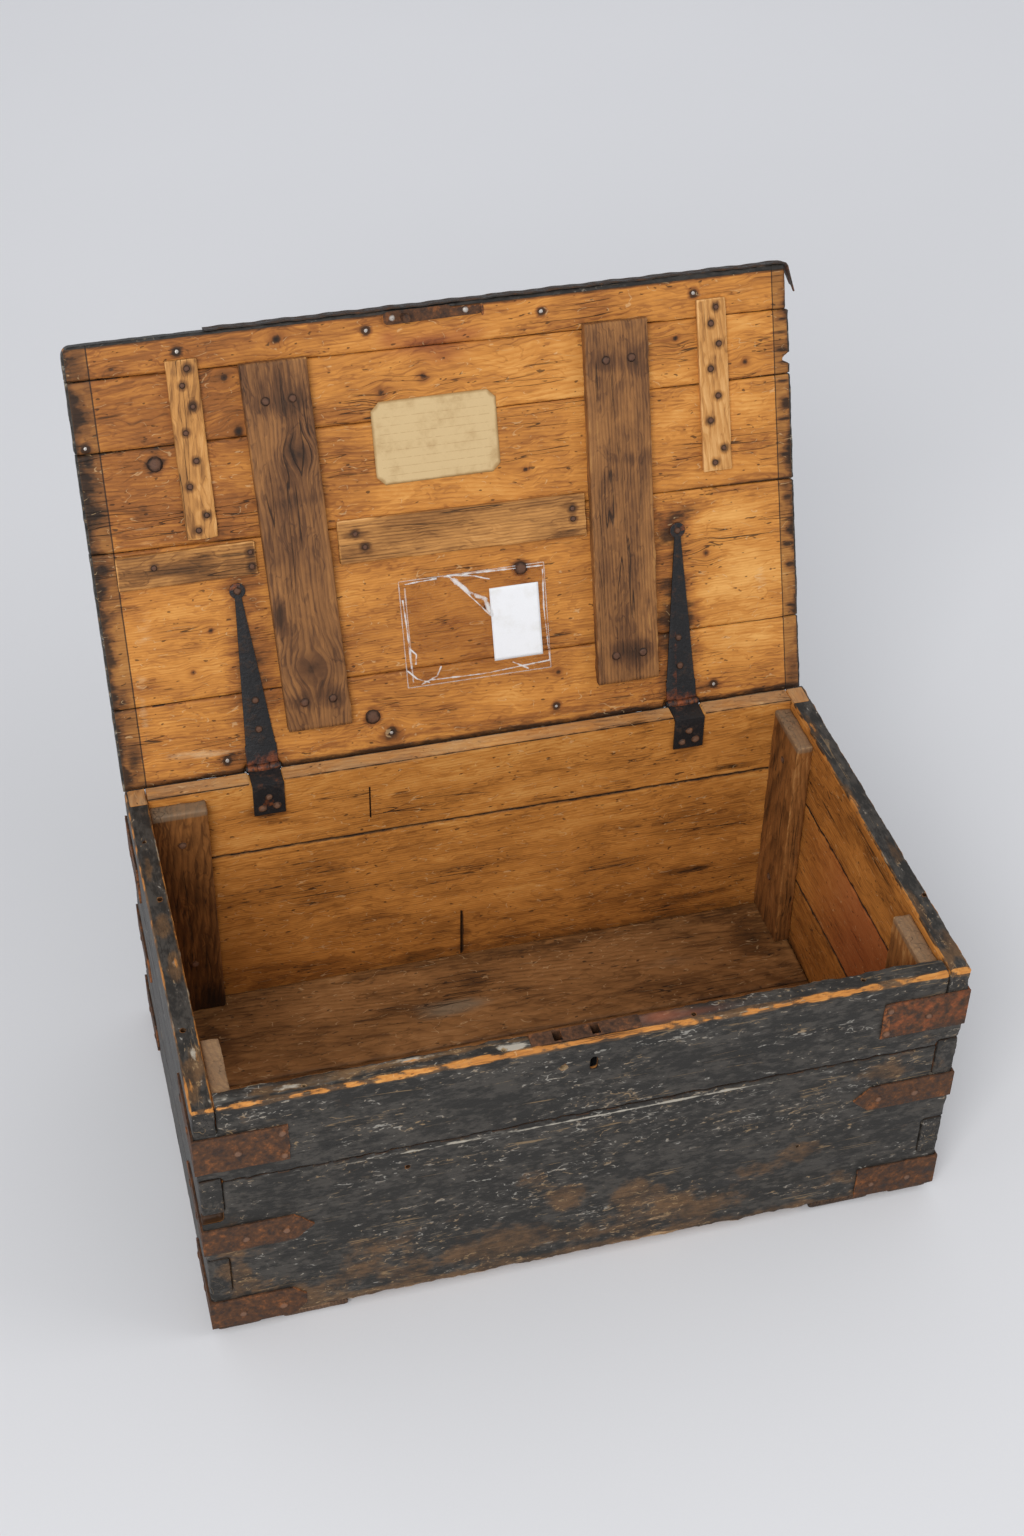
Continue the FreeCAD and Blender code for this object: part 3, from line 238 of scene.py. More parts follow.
def step(f, level, low, high):
    """0 below low, 1 above high, and soft between."""
    return f.node("ShaderNodeMapRange", {"interpolation_type": "SMOOTHSTEP"}, {
        "Value": level, "From Min": low, "From Max": high})


def most(f, first, second):
    return f.node("ShaderNodeMath", {"operation": "MAXIMUM"}, {0: first, 1: second})


def size_of(f, level):
    """A level without its sign."""
    return f.node("ShaderNodeMath", {"operation": "ABSOLUTE"}, {0: level})


def mix(f, share, first, second):
    return f.node("ShaderNodeMix", {"data_type": "RGBA"}, {0: share, 6: first, 7: second}, out=2)


def tint(f, colour, level):
    """A colour made darker or lighter by a level."""
    return f.node("ShaderNodeVectorMath", {"operation": "SCALE"}, {0: colour, "Scale": level})


def lines(f, field, width):
    """1 on the thin lines where a noise crosses its middle."""
    return 1 - step(f, size_of(f, field - 0.5), width * 0.35, width)


def relief(f, millimetres, strength=1.0):
    """Turns a height in millimetres into a bumped normal."""
    return f.node("ShaderNodeBump", {}, {"Strength": strength, "Distance": 0.001, "Height": millimetres})


def read(f, name, vector=False):
    """A value that was painted on the piece's own points."""
    return f.node("ShaderNodeAttribute", {"attribute_name": name}, out=1 if vector else 2)


print("words ready")

# %% [markdown]
# ## Where a board is
# Wear follows a board: along its grain, across it, and near its arrises. So each board is measured in its own
# directions, in millimetres. The lid's pieces are measured as if the lid were shut, because that is how they
# were planed: x runs along the lid, and s from its hinge side to its front edge.

# %% Each board's own directions
HINGE = Vector((0, 0.281, 0.3811))
SHUT = Matrix.Rotation(math.radians(110), 4, "X") @ Matrix.Translation(-HINGE)
RIM = 384.0  # how high the walls stand
FACE = 3.3  # how far the shut lid's inner face is above the hinge's middle
LID_START = 6  # s is measured from this far before the hinge's middle
X, Y, Z = np.eye(3)
WAYS = {  # along the grain, across it, and out of the chest
    "front": (X, Z, -Y), "back": (X, Z, Y), "left": (Y, Z, -X), "right": (Y, Z, X),
    "floor": (X, Y, -Z), "lid": (X, -Y, Z), "post_front": (Z, X, -Y), "post_rear": (Z, X, Y), "skid": (Y, X, -Z),
}


def leaning(side):
    """The ways of a batten that leans to one side by so many millimetres over its length."""
    along = np.array((side, -464.0, 0)) / math.hypot(side, 464)
    return along, np.array((along[1], -along[0], 0)), Z


def points_of(piece):
    """A piece's points in millimetres, as rows."""
    flat = np.empty(len(piece.data.vertices) * 3, np.float32)
    piece.data.vertices.foreach_get("co", flat)
    return flat.reshape(-1, 3).astype(float) * 1000


def move_points(piece, points):
    """Puts a piece's points at new places, in millimetres."""
    piece.data.vertices.foreach_set("co", (points / 1000).astype(np.float32).ravel())


def shut(points):
    """Points of the open lid, with the lid shut, measured from the hinge."""
    turn = np.array(SHUT.to_3x3())
    return (points - np.array(HINGE) * 1000) @ turn.T


def turn_up(piece):
    """Turns a piece that was made on the shut lid up with the open one."""
    piece.data.transform(SHUT.inverted())


def down_lid(flat):
    """The s of points on the shut lid."""
    return -flat[:, 1] - LID_START


print("ways", len(WAYS))

# %% [markdown]
# ## Worn copies
# A CAD board has perfect faces. A worn board is made from a copy: its loose triangles are merged, a voxel
# remesh gives it an even skin that rounds the arrises as hands and rope do, and two cloud textures push the
# skin in and out. The second works only near the arrises, through a vertex group, and takes chips out of them.

# %% Copy, remesh and wear
def only(piece):
    bpy.ops.object.select_all(action="DESELECT")
    piece.select_set(True)
    bpy.context.view_layer.objects.active = piece


def finish_with(piece, kind, **settings):
    """Adds a modifier and applies it at once."""
    only(piece)
    modifier = piece.modifiers.new(kind, kind)
    for key, value in settings.items():
        setattr(modifier, key, value)
    bpy.ops.object.modifier_apply(modifier=modifier.name)


def copy_of(node, prefix):
    """A copy of a CAD node's mesh with its loose triangles merged."""
    only(nodes[node])
    bpy.ops.object.duplicate()
    piece = bpy.context.active_object
    piece.name = piece.data.name = prefix + node
    piece.parent = None
    del piece["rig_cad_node"]
    piece.data.materials.clear()
    bpy.ops.object.mode_set(mode="EDIT")
    bpy.ops.mesh.select_all(action="SELECT")
    bpy.ops.mesh.remove_doubles(threshold=0.00002)
    bpy.ops.object.mode_set(mode="OBJECT")
    return piece


def clouds(name, size, contrast=1.0, depth=2):
    texture = bpy.data.textures.new(name, "CLOUDS")
    texture.noise_scale, texture.contrast, texture.noise_depth = size, contrast, depth
    return texture


SWELL, CHIPS = clouds("swell", 0.045, 1.0, 3), clouds("chips", 0.016, 2.2, 3)


def near_arris(u, v, w):
    """How far each point is from the nearest arris of its board, in millimetres."""
    gaps = np.stack([np.minimum(a - a.min(), a.max() - a) for a in (u, v, w)])
    return np.sort(gaps, axis=0)[1]


def paint_on(piece, name, values):
    """Stores one value, or one vector, for each point of a piece."""
    many = np.ndim(values) == 2
    layer = piece.data.attributes.new(name, "FLOAT_VECTOR" if many else "FLOAT", "POINT")
    layer.data.foreach_set("vector" if many else "value", np.asarray(values, np.float32).ravel())


def wander(values, length):
    """A slow wander between about -1 and 1."""
    return np.sin(values / length) * 0.6 + np.sin(values / (length * 0.37) + 2.3) * 0.4


def own_ways(piece, ways, on_lid):
    """Along, across and out, for every point."""
    points = points_of(piece)
    points = shut(points) if on_lid else points
    return [points @ way for way in ways]


CHIP_REACH = 5  # millimetres from an arris


def wear(piece, ways, on_lid, grid, swell, chip):
    """Remeshes a copy and wears it. Sizes in millimetres."""
    if on_lid:
        piece.data.transform(SHUT)
    finish_with(piece, "REMESH", mode="VOXEL", voxel_size=grid / 1000)
    if on_lid:
        turn_up(piece)
    weight = np.clip(1 - near_arris(*own_ways(piece, ways, on_lid)) / CHIP_REACH, 0, 1)
    group = piece.vertex_groups.new(name="chipped")
    for index in np.nonzero(weight > 0.05)[0]:
        group.add([int(index)], float(weight[index]), "REPLACE")
    finish_with(piece, "DISPLACE", texture=SWELL, strength=swell / 1000, mid_level=0.5)
    finish_with(piece, "DISPLACE", texture=CHIPS, strength=-chip / 1000, mid_level=0.42, vertex_group="chipped")
    piece.vertex_groups.clear()
    bpy.ops.object.shade_smooth_by_angle(angle=math.radians(50))


print("swell", SWELL.noise_scale, "chips", CHIPS.noise_scale)

# %% [markdown]
# ## Holes and saw cuts
# Old nail holes go through the rim, and two saw cuts mark the back. A painted black spot would look flat from
# the side, so each is really cut: cylinders and thin blocks are joined into one cutter and taken away at once.

# %% Holes and saw cuts
DOWN, BACKWARDS = (0, 0, -1), (0, 1, 0)
HOLES = {  # the place, the direction in, the radius and the depth, in millimetres
    "front_board_upper": [((x, y, RIM), DOWN, radius, 16) for x, y, radius in (
        (-325, -264, 2.4), (-103, -266, 2.6), (117, -265, 2.6), (322, -261, 2.4))]
    + [((-36, -275, 348), BACKWARDS, 4.2, 6)],
    "left_board_upper": [
        ((-438, 172, RIM), DOWN, 2.2, 12), ((-434, 66, RIM), DOWN, 3.0, 8), ((-439, -151, RIM), DOWN, 3.2, 9)],
    "right_board_upper": [((446, -145, RIM), DOWN, 2.6, 12)],
    "front_board_lower": [((-215, -275, 232), BACKWARDS, 2.6, 6), ((262, -275, 131), BACKWARDS, 2.0, 5)],
}
CUTS = {  # a thin block from corner to corner
    "back_board_upper": [((-144.6, 246, 298), (-142.8, 252, 348))],
    "back_board_lower": [((-24.6, 246, 26), (-22.8, 251.5, 106))],
}


def carve(piece, node):
    """Takes a board's holes and saw cuts out of it. Half of each round cutter stands outside the board."""
    cutters = []
    for place, way, radius, depth in HOLES.get(node, ()):
        bpy.ops.object.select_all(action="DESELECT")
        middle = Vector(place) / 1000
        bpy.ops.mesh.primitive_cylinder_add(
            vertices=14, radius=radius / 1000, depth=2 * depth / 1000, location=middle)
        cutter = bpy.context.active_object
        cutter.rotation_mode = "QUATERNION"
        cutter.rotation_quaternion = Vector(way).to_track_quat("Z", "Y")
        cutters.append(cutter)
    for low, high in CUTS.get(node, ()):
        bpy.ops.object.select_all(action="DESELECT")
        low, high = Vector(low) / 1000, Vector(high) / 1000
        bpy.ops.mesh.primitive_cube_add(size=1, location=(low + high) / 2, scale=high - low)
        cutters.append(bpy.context.active_object)
    for cutter in cutters:
        finish_with(piece, "BOOLEAN", object=cutter, operation="DIFFERENCE", solver="EXACT")
        bpy.data.objects.remove(cutter)


print("holes", sum(map(len, HOLES.values())), "saw cuts", len(CUTS))

# %% [markdown]
# ## Dabs
# Stains, rubbed places and knots aren't everywhere alike. They are dabbed on as with a soft brush:
# each dab has a place on the face, a size both ways and a strength. The finish breaks their edges up later.

# %% A soft brush
def dabs(a, b, spots):
    """Soft dabs added like layers of glaze. Each spot is (a, b, size a, size b, strength)."""
    clear = np.ones_like(a)
    for place_a, place_b, size_a, size_b, strength in spots:
        far = ((a - place_a) / size_a) ** 2 + ((b - place_b) / size_b) ** 2
        clear *= 1 - strength * np.exp(-far)
    return 1 - clear


def soft(values, low, high):
    t = np.clip((values - low) / (high - low), 0, 1)
    return t * t * (3 - 2 * t)


print("a dab's middle", round(float(dabs(np.zeros(1), np.zeros(1), [(0, 0, 5, 5, 0.7)])[0]), 2))

# %% [markdown]
# ## The list of boards
# Each entry gives the node, its ways, the finish it takes, whether it is on the lid, the size of its skin, and
# how much it swells and chips. What was handled most, the front and the battens, is worn most.

# %% All the boards
BOARDS = {}


def board(node, ways, slot, on_lid=False, grid=3.0, swell=0.5, chip=2.0):
    BOARDS[node] = dict(ways=ways, slot=slot, on_lid=on_lid, grid=grid, swell=swell, chip=chip)


for part in ("lower", "upper"):
    board("front_board_" + part, WAYS["front"], "painted_wood", grid=2.6, chip=3.0)
    board("back_board_" + part, WAYS["back"], "painted_wood", chip=1.6)
for part in ("lower", "middle", "upper"):
    board("left_board_" + part, WAYS["left"], "painted_wood", grid=2.8, chip=2.6)
    board("right_board_" + part, WAYS["right"], "painted_wood", grid=2.8, chip=2.6)
for part in ("front", "middle", "rear"):
    board("floor_board_" + part, WAYS["floor"], "floor_wood", grid=3.4, chip=1.0)
for part in ("rear", "lower", "middle", "upper", "front"):
    board("lid_board_" + part, WAYS["lid"], "lid_wood", True, grid=2.6, chip=1.8)
for part in ("left", "right"):
    board("post_front_" + part, WAYS["post_front"], "post_wood", grid=2.5, chip=1.6)
    board("post_rear_" + part, WAYS["post_rear"], "post_wood", grid=2.5, chip=1.6)
    board("wide_batten_" + part, leaning(10), "batten_wood", True, grid=2.0, swell=0.7, chip=1.8)
    lean = leaning(10 if part == "left" else 0)
    board("narrow_batten_" + part, lean, "strip_wood", True, grid=1.8, swell=0.3, chip=1.0)
for part in ("left", "centre"):
    board("seam_strip_" + part, WAYS["lid"], "strip_wood", True, grid=1.8, swell=0.3, chip=0.8)
for pair in ("outer_skids", "inner_skids"):
    board(pair, WAYS["skid"], "skid_wood", grid=2.6, swell=0.9, chip=2.0)
print("boards", len(BOARDS))

# %% [markdown]
# ## Small joinery
# Four things are set right while a board is still plain, or just after it is worn: a web fills the far half
# of each hinge notch, the lid's left front corner is round from use, its rear edge sags a little, and no board
# may swell past the faces where the shut lid meets the walls.

# %% Webs, a round corner and flat meeting faces
def close_notches(piece):
    """The hinge notches need only the knuckle's depth, so a web closes their far half. Sizes in metres."""
    webs = [piece]
    for middle in (-0.2732, 0.283):
        bpy.ops.object.select_all(action="DESELECT")
        bpy.ops.mesh.primitive_cube_add(size=1, location=(middle, -0.0021, 0.0172), scale=(0.052, 0.0118, 0.0150))
        bpy.ops.object.transform_apply(location=True, rotation=True, scale=True)
        web = bpy.context.active_object
        turn_up(web)
        webs.append(web)
    for web in webs:
        web.select_set(True)
    bpy.context.view_layer.objects.active = piece
    bpy.ops.object.join()


def round_corner(piece, x=-450, s=543, radius=13):
    """Draws the points of the lid's left front corner in to a curve."""
    points = shut(points_of(piece))
    middle = np.array((x + radius, -(LID_START + s) + radius))
    off = points[:, :2] - middle
    far = np.linalg.norm(off, axis=1)
    corner = (off[:, 0] < 0) & (off[:, 1] < 0) & (far > radius)
    points[corner, :2] = middle + off[corner] * (radius / far[corner])[:, None]
    move_points(piece, points)
    turn_up(piece)


def sag(piece, drop=2.4):
    """Brings the lid's rear edge further back, in a slow wave."""
    points = shut(points_of(piece))
    points[:, 1] += soft(points[:, 1], -2, 2) * (drop + 0.8 * wander(points[:, 0], 41))
    move_points(piece, points)
    turn_up(piece)


def keep_apart(piece, slot):
    """No board swells past the faces where the shut lid meets the walls, 0.4 mm apart."""
    points = points_of(piece)
    if slot == "painted_wood":
        points[:, 2] = np.minimum(points[:, 2], RIM)
        move_points(piece, points)
    if slot == "lid_wood":
        points = shut(points)
        points[:, 2] = np.maximum(points[:, 2], FACE)
        move_points(piece, points)
        turn_up(piece)


print("rim at", RIM, "lid's face at", FACE)

# %% [markdown]
# ## Every board, worn
# Now one loop makes all the boards. The order matters: a web has to be there before the skin is drawn over
# the board, and holes are cut last, so that their rims stay sharp.

# %% Make the worn boards
worn = {}
for node, how in BOARDS.items():
    piece = copy_of(node, "worn_")
    if node == "lid_board_rear":
        close_notches(piece)
    wear(piece, how["ways"], how["on_lid"], how["grid"], how["swell"], how["chip"])
    carve(piece, node)
    if node == "lid_board_front":
        round_corner(piece)
    if node == "lid_board_rear":
        sag(piece)
    keep_apart(piece, how["slot"])
    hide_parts(node)
    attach(piece, "lid" if how["on_lid"] else "chest")
    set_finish(piece, how["slot"])
    worn[node] = piece
print("boards", len(worn), "triangles", sum(2 * len(p.data.polygons) for p in worn.values()))

# %% [markdown]
# ## Forged nails
# A smith's nail head is a low dome with hammer facets, never a perfect disc. One head is made from a sphere:
# its lower half is cut off and a cloud dents it. Each CAD nail keeps its shank, its square head is drawn in to
# the shank, and a head, turned by chance, is set over it. `top` tells the finish how high on a head it is.

# %% Nail heads
INWARD = np.array(SHUT.to_3x3().transposed() @ Vector((0, 0, -1)))
rng = np.random.default_rng(7)
bpy.ops.object.select_all(action="DESELECT")
bpy.ops.mesh.primitive_uv_sphere_add(segments=11, ring_count=8, radius=1, location=(0, 0, 0))
dome = bpy.context.active_object
bpy.ops.object.mode_set(mode="EDIT")
bpy.ops.mesh.select_all(action="SELECT")
bpy.ops.mesh.bisect(plane_co=(0, 0, 0.001), plane_no=(0, 0, 1), clear_inner=True)
bpy.ops.object.mode_set(mode="OBJECT")
paint_on(dome, "top", points_of(dome)[:, 2] / 1000)
finish_with(dome, "DISPLACE", texture=clouds("hammer", 0.6, 1.0, 1), strength=0.25, mid_level=0.5)


def nail_heads(node, body, slot, grow):
    """Gives each nail of a node a hammered head, and returns the heads' places in millimetres."""
    copy_of(node, "nails_")
    bpy.ops.object.mode_set(mode="EDIT")
    bpy.ops.mesh.select_all(action="SELECT")
    bpy.ops.mesh.separate(type="LOOSE")
    bpy.ops.object.mode_set(mode="OBJECT")
    nails = sorted(bpy.context.selected_objects, key=lambda o: o.name)
    heads, places = [], []
    for nail in nails:
        points = points_of(nail)
        out = INWARD if body == "lid" else max((X, Y), key=lambda way: np.ptp(points @ way))
        along = points @ out
        across = points - np.outer(along, out)
        middle = across.mean(axis=0)
        far = np.linalg.norm(across - middle, axis=1)
        if along[far.argmax()] < along.mean():
            out, along = -out, -along
        seat = along[far.argmax()]
        head = along > seat - 0.01
        thin = np.outer(np.minimum(along, seat), out) + middle + (across - middle) * 0.35
        move_points(nail, np.where(head[:, None], thin, points))
        radius, rise = far.max() / 1.4142 * grow, along.max() - seat
        one = dome.copy()
        one.data = dome.data.copy()
        bpy.context.scene.collection.objects.link(one)
        place = middle + out * seat
        size = radius * rng.uniform(0.9, 1.08) / 1000
        one.matrix_world = (
            Matrix.Translation(place / 1000) @ Vector(out).to_track_quat("Z", "Y").to_matrix().to_4x4()
            @ Matrix.Rotation(rng.uniform(0, 6.3), 4, "Z") @ Matrix.Diagonal((size, size, rise / 1000, 1)))
        heads.append(one)
        places.append(place)
    bpy.ops.object.select_all(action="DESELECT")
    for one in nails + heads:
        one.select_set(True)
    bpy.context.view_layer.objects.active = nails[0]
    bpy.ops.object.join()
    piece = bpy.context.active_object
    piece.name = piece.data.name = "nails_" + node
    bpy.ops.object.shade_smooth_by_angle(angle=math.radians(60))
    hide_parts(node)
    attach(piece, body)
    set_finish(piece, slot)
    forged[node] = piece
    return np.array(places)


forged = {}
driven = {node: nail_heads(node, body, slot, grow) for node, body, slot, grow in (
    ("iron_nails", "chest", "rusty_iron", 1.2), ("post_nails", "chest", "rusty_iron", 1.2),
    ("leaf_nails", "chest", "rusty_iron", 1.2), ("lock_nails", "chest", "bright_steel", 1.1),
    ("batten_nails", "lid", "rusty_iron", 1.3), ("strap_rivets", "lid", "bright_steel", 1.1),
    ("rose_nails", "lid", "old_iron", 1.0), ("edge_tacks", "lid", "bright_steel", 1.1),
    ("link_rivets", "lid", "bright_steel", 1.1))}
bpy.data.objects.remove(dome)
print("nails", {node: len(places) for node, places in driven.items()})

# %% [markdown]
# ## Smith's work
# The irons were cut hot from strap, so their outlines waver and their edges are blunt. A copy's triangles are
# dissolved into whole faces and its long edges are divided and wander a little. A narrow border is inset on
# each broad face, which the finish turns bright or orange as `rim`, and a bevel blunts the edges. `red` tells
# the finish where an iron is redder: where a strap bends, and on the top irons.

# %% Wavering outlines and rims
def waver_long_edges(piece, waver):
    """Divides the edges over 30 mm long and lets them wander by so many millimetres."""
    for edge in piece.data.edges:
        start, end = (piece.data.vertices[i].co for i in edge.vertices)
        edge.select = (start - end).length > 0.03
    bpy.ops.object.mode_set(mode="EDIT")
    bpy.ops.mesh.subdivide(number_cuts=9)
    bpy.ops.mesh.select_all(action="DESELECT")
    bpy.ops.object.mode_set(mode="OBJECT")
    x, y, z = points_of(piece).T
    high = z + waver * wander(x * np.sign(y) + y * np.sign(x), 8)
    x = np.where(np.abs(x) < 440, x + waver * wander(z, 6), x)
    y = np.where(np.abs(y) < 262, y + waver * wander(z, 6), y)
    move_points(piece, np.stack([x, y, high], 1))


def inset_rims(piece):
    """Insets a border on each broad face, and paints it on as `rim`."""
    bpy.ops.object.mode_set(mode="EDIT")
    bpy.ops.mesh.select_mode(type="FACE")
    bpy.ops.object.mode_set(mode="OBJECT")
    for face in piece.data.polygons:
        face.select = face.area > 0.0002
    bpy.ops.object.mode_set(mode="EDIT")
    bpy.ops.mesh.inset(thickness=0.0016, use_even_offset=False)
    bpy.ops.object.mode_set(mode="OBJECT")
    rim = np.ones(len(piece.data.vertices))
    for face in piece.data.polygons:
        if face.select:
            rim[list(face.vertices)] = 0
    paint_on(piece, "rim", rim)


def redness(piece, node):
    """How red each point of an iron is."""
    height = points_of(piece)[:, 2]
    if "strap" in node:
        s = down_lid(shut(points_of(piece)))
        return 0.75 * soft(-s, -42, -4) + 0.45 * soft(s, 205, 222)
    if "irons" in node:
        return (0.62 if "front_right" in node else 0.3) * soft(height, 290, 300)
    return 0.5 * soft(height, 372, 384)


print("rims ready")

# %% [markdown]
# ## Irons, hinges and plates
# The corner irons were cut by eye and waver most. Straps, leaves and plates keep straight outlines, and the
# hinges are hardly blunted, because strap and leaf fold closely together when the lid is shut.

# %% Forge them
def forge(node, body, slot, blunt, waver=0.0):
    piece = copy_of(node, "forged_")
    bpy.ops.object.mode_set(mode="EDIT")
    bpy.ops.mesh.select_mode(type="EDGE")
    bpy.ops.mesh.select_all(action="SELECT")
    bpy.ops.mesh.dissolve_limited(angle_limit=math.radians(0.5))
    bpy.ops.mesh.select_all(action="DESELECT")
    bpy.ops.object.mode_set(mode="OBJECT")
    if waver:
        waver_long_edges(piece, waver)
    inset_rims(piece)
    if "plate" not in node:
        paint_on(piece, "red", redness(piece, node))
    finish_with(piece, "BEVEL", width=blunt / 1000, segments=2, limit_method="ANGLE", angle_limit=math.radians(40))
    bpy.ops.object.shade_smooth_by_angle(angle=math.radians(35))
    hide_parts(node)
    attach(piece, body)
    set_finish(piece, slot)
    forged[node] = piece


for side in ("front_left", "front_right", "rear_left", "rear_right"):
    forge(side + "_irons", "chest", "rusty_iron", 0.6, 0.7)
for side in ("left", "right"):
    forge("hinge_strap_" + side, "lid", "old_iron", 0.15)
    forge("hinge_leaf_" + side, "chest", "old_iron", 0.15)
forge("link_plate", "lid", "rusty_iron", 0.4)
forge("lock_plate", "chest", "rusty_iron", 0.3)
print("forged", len(forged), "triangles", sum(2 * len(p.data.polygons) for p in forged.values()))

# %% [markdown]
# ## Papers
# Each paper starts as a fine flat grid on the lid's inner face, with the lid shut, because there x and y are
# simply along and down the lid. It is bent by a height for each point, and then turned up with the open lid.

# %% A sheet on the lid
def sheet_on_lid(name, left, right, low, high, steps):
    bpy.ops.object.select_all(action="DESELECT")
    bpy.ops.mesh.primitive_grid_add(
        x_subdivisions=steps[0], y_subdivisions=steps[1], size=1,
        location=((left + right) / 2000, -(LID_START + (low + high) / 2) / 1000, 0))
    piece = bpy.context.active_object
    piece.name = piece.data.name = name
    piece.scale = ((right - left) / 1000, (high - low) / 1000, 1)
    bpy.ops.object.transform_apply(location=True, rotation=True, scale=True)
    return piece


def lift(piece, heights, thick, node, slot):
    """Bends a sheet, gives it its thickness and turns it up with the open lid."""
    points = points_of(piece)
    points[:, 2] = FACE - heights
    move_points(piece, points)
    finish_with(piece, "SOLIDIFY", thickness=thick / 1000, offset=0)
    turn_up(piece)
    bpy.ops.object.shade_smooth()
    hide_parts(node)
    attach(piece, "lid")
    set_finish(piece, slot)
    papers[node] = piece


def along_and_down(piece):
    """The x and s of a flat sheet's points."""
    points = points_of(piece)
    return points[:, 0], down_lid(points)


def from_edges(x, s, left, right, low, high):
    """How far each point is from the nearest edge of a sheet."""
    return np.minimum(np.minimum(x - left, right - x), np.minimum(s - low, high - s))


papers = {}
print("sheets lie on the face at", FACE)

# %% [markdown]
# ## The label and the card
# The old label has clipped corners that lift a little. `edge` and `down` tell its finish where it is foxed and
# where its faint rules run. The card is new and stiff, and only bows across its width.

# %% Label and card
LABEL = (-92.5, 64.5, 333, 436)
CLIP = 7.5
left, right, low, high = LABEL
middle_x, middle_s = (left + right) / 2, (low + high) / 2
label = sheet_on_lid("label", *LABEL, (64, 42))
bpy.ops.object.mode_set(mode="EDIT")
for x, s in ((left, low), (right, low), (right, high), (left, high)):
    out = Vector((math.copysign(1, x - middle_x), math.copysign(1, middle_s - s), 0)).normalized()
    corner = Vector((x, -(LID_START + s), 0)) / 1000
    bpy.ops.mesh.select_all(action="SELECT")
    bpy.ops.mesh.bisect(plane_co=corner - out * (CLIP / 1000), plane_no=out, clear_outer=True)
bpy.ops.object.mode_set(mode="OBJECT")
x, s = along_and_down(label)
corner = np.hypot(np.abs(x - middle_x) - (right - left) / 2, np.abs(s - middle_s) - (high - low) / 2)
paint_on(label, "edge", np.clip(1 - np.minimum(from_edges(x, s, *LABEL), corner - 9) / 9, 0, 1))
paint_on(label, "down", high - s)
lift(label, 0.5 + 0.25 * (1 + wander(x + s, 17)) + 1.6 * np.exp(-np.maximum(corner - 8, 0) / 7),
     0.25, "paper_label", "paper")

CARD = (37, 101, 88, 184)
card = sheet_on_lid("card", *CARD, (16, 24))
x, s = along_and_down(card)
lift(card, 0.6 + 0.8 * ((x - 69) / 32) ** 2, 0.3, "blank_card", "card")
print("label", len(label.data.polygons), "card", len(card.data.polygons))

# %% [markdown]
# ## The film
# Clear film shows only by what it does to light: its sealed rim is pale, its creases carry painted glints and
# one broad fold a painted highlight. So each is drawn as a stroke, through points along and down the lid. The
# creases are also ridges of the sheet, and between them the film billows.

# %% Strokes on the film
def near_strokes(x, s, strokes, width):
    """1 on each stroke, a line through points, and fading over a width."""
    best = np.full_like(x, 1e9)
    for stroke in strokes:
        for (x0, s0), (x1, s1) in zip(stroke, stroke[1:]):
            dx, ds = x1 - x0, s1 - s0
            t = np.clip(((x - x0) * dx + (s - s0) * ds) / (dx * dx + ds * ds), 0, 1)
            best = np.minimum(best, np.hypot(x - x0 - t * dx, s - s0 - t * ds))
    return np.exp(-(best / width) ** 2)


# Crease strokes: ridges of the sheet, with painted glints along them.
CREASES_AND_GLINTS = [
    [(-15, 209), (-9, 203), (6, 185), (23, 165), (36, 149)], [(-3, 207), (18, 204), (38, 197)],
    [(-75, 184), (-73, 150), (-72, 95)], [(-77, 92), (-66, 80), (-50, 73)], [(-50, 76), (20, 74), (109, 79)],
    [(-70, 205), (-30, 207)], [(-20, 208), (40, 207), (108, 205)], [(108, 200), (106, 150), (109, 80)],
    [(-60, 72), (-40, 80), (-34, 92)], [(60, 84), (80, 72)], [(-71, 120), (-64, 112), (-66, 100)],
]
SEALS = [
    [(-78, 209), (110, 209)], [(110, 209), (110, 69)], [(110, 69), (-78, 69)], [(-78, 69), (-78, 209)],
    [(-71, 200), (-71, 76)],
]
# The broad fold is only a painted highlight, with no ridge.
FOLD_HIGHLIGHT = [[(-16, 208), (-6, 200), (10, 184), (30, 172)], [(30, 172), (37, 150)]]
POCKET = (-79.5, 111.5, 68, 210)
pocket = sheet_on_lid("pocket", *POCKET, (150, 112))
x, s = along_and_down(pocket)
inside = np.clip(from_edges(x, s, *POCKET) / 22, 0, 1)
ridges = near_strokes(x, s, CREASES_AND_GLINTS, 2.4)
fold = near_strokes(x, s, FOLD_HIGHLIGHT, 4.5)
fold *= 0.95 + 0.3 * wander(x - s, 11)
billow = 1.5 + 0.5 * wander(x + 0.6 * s, 13) + 0.3 * wander(s - 0.4 * x, 9)
# Painted glints on the creases and the fold's painted highlight.
paint_on(pocket, "crease", np.maximum(near_strokes(x, s, CREASES_AND_GLINTS, 1.5), fold))
paint_on(pocket, "seal", near_strokes(x, s, SEALS, 1.1))
paint_on(pocket, "card", (np.abs(x - 69) < 33) & (np.abs(s - 136) < 49))
lift(pocket, 1.6 + inside * billow + ridges, 0.1, "card_pocket", "brass_film")
print("papers", {node: len(p.data.polygons) for node, p in papers.items()})

# %% [markdown]
# ## The torn edging
# A thin dark strip was nailed along the lid's front edge. Its left half is gone and its right end has come
# loose and hangs over the corner. It is a grid again: its long side follows the edge, and past the corner
# each point is carried round a bend and down.

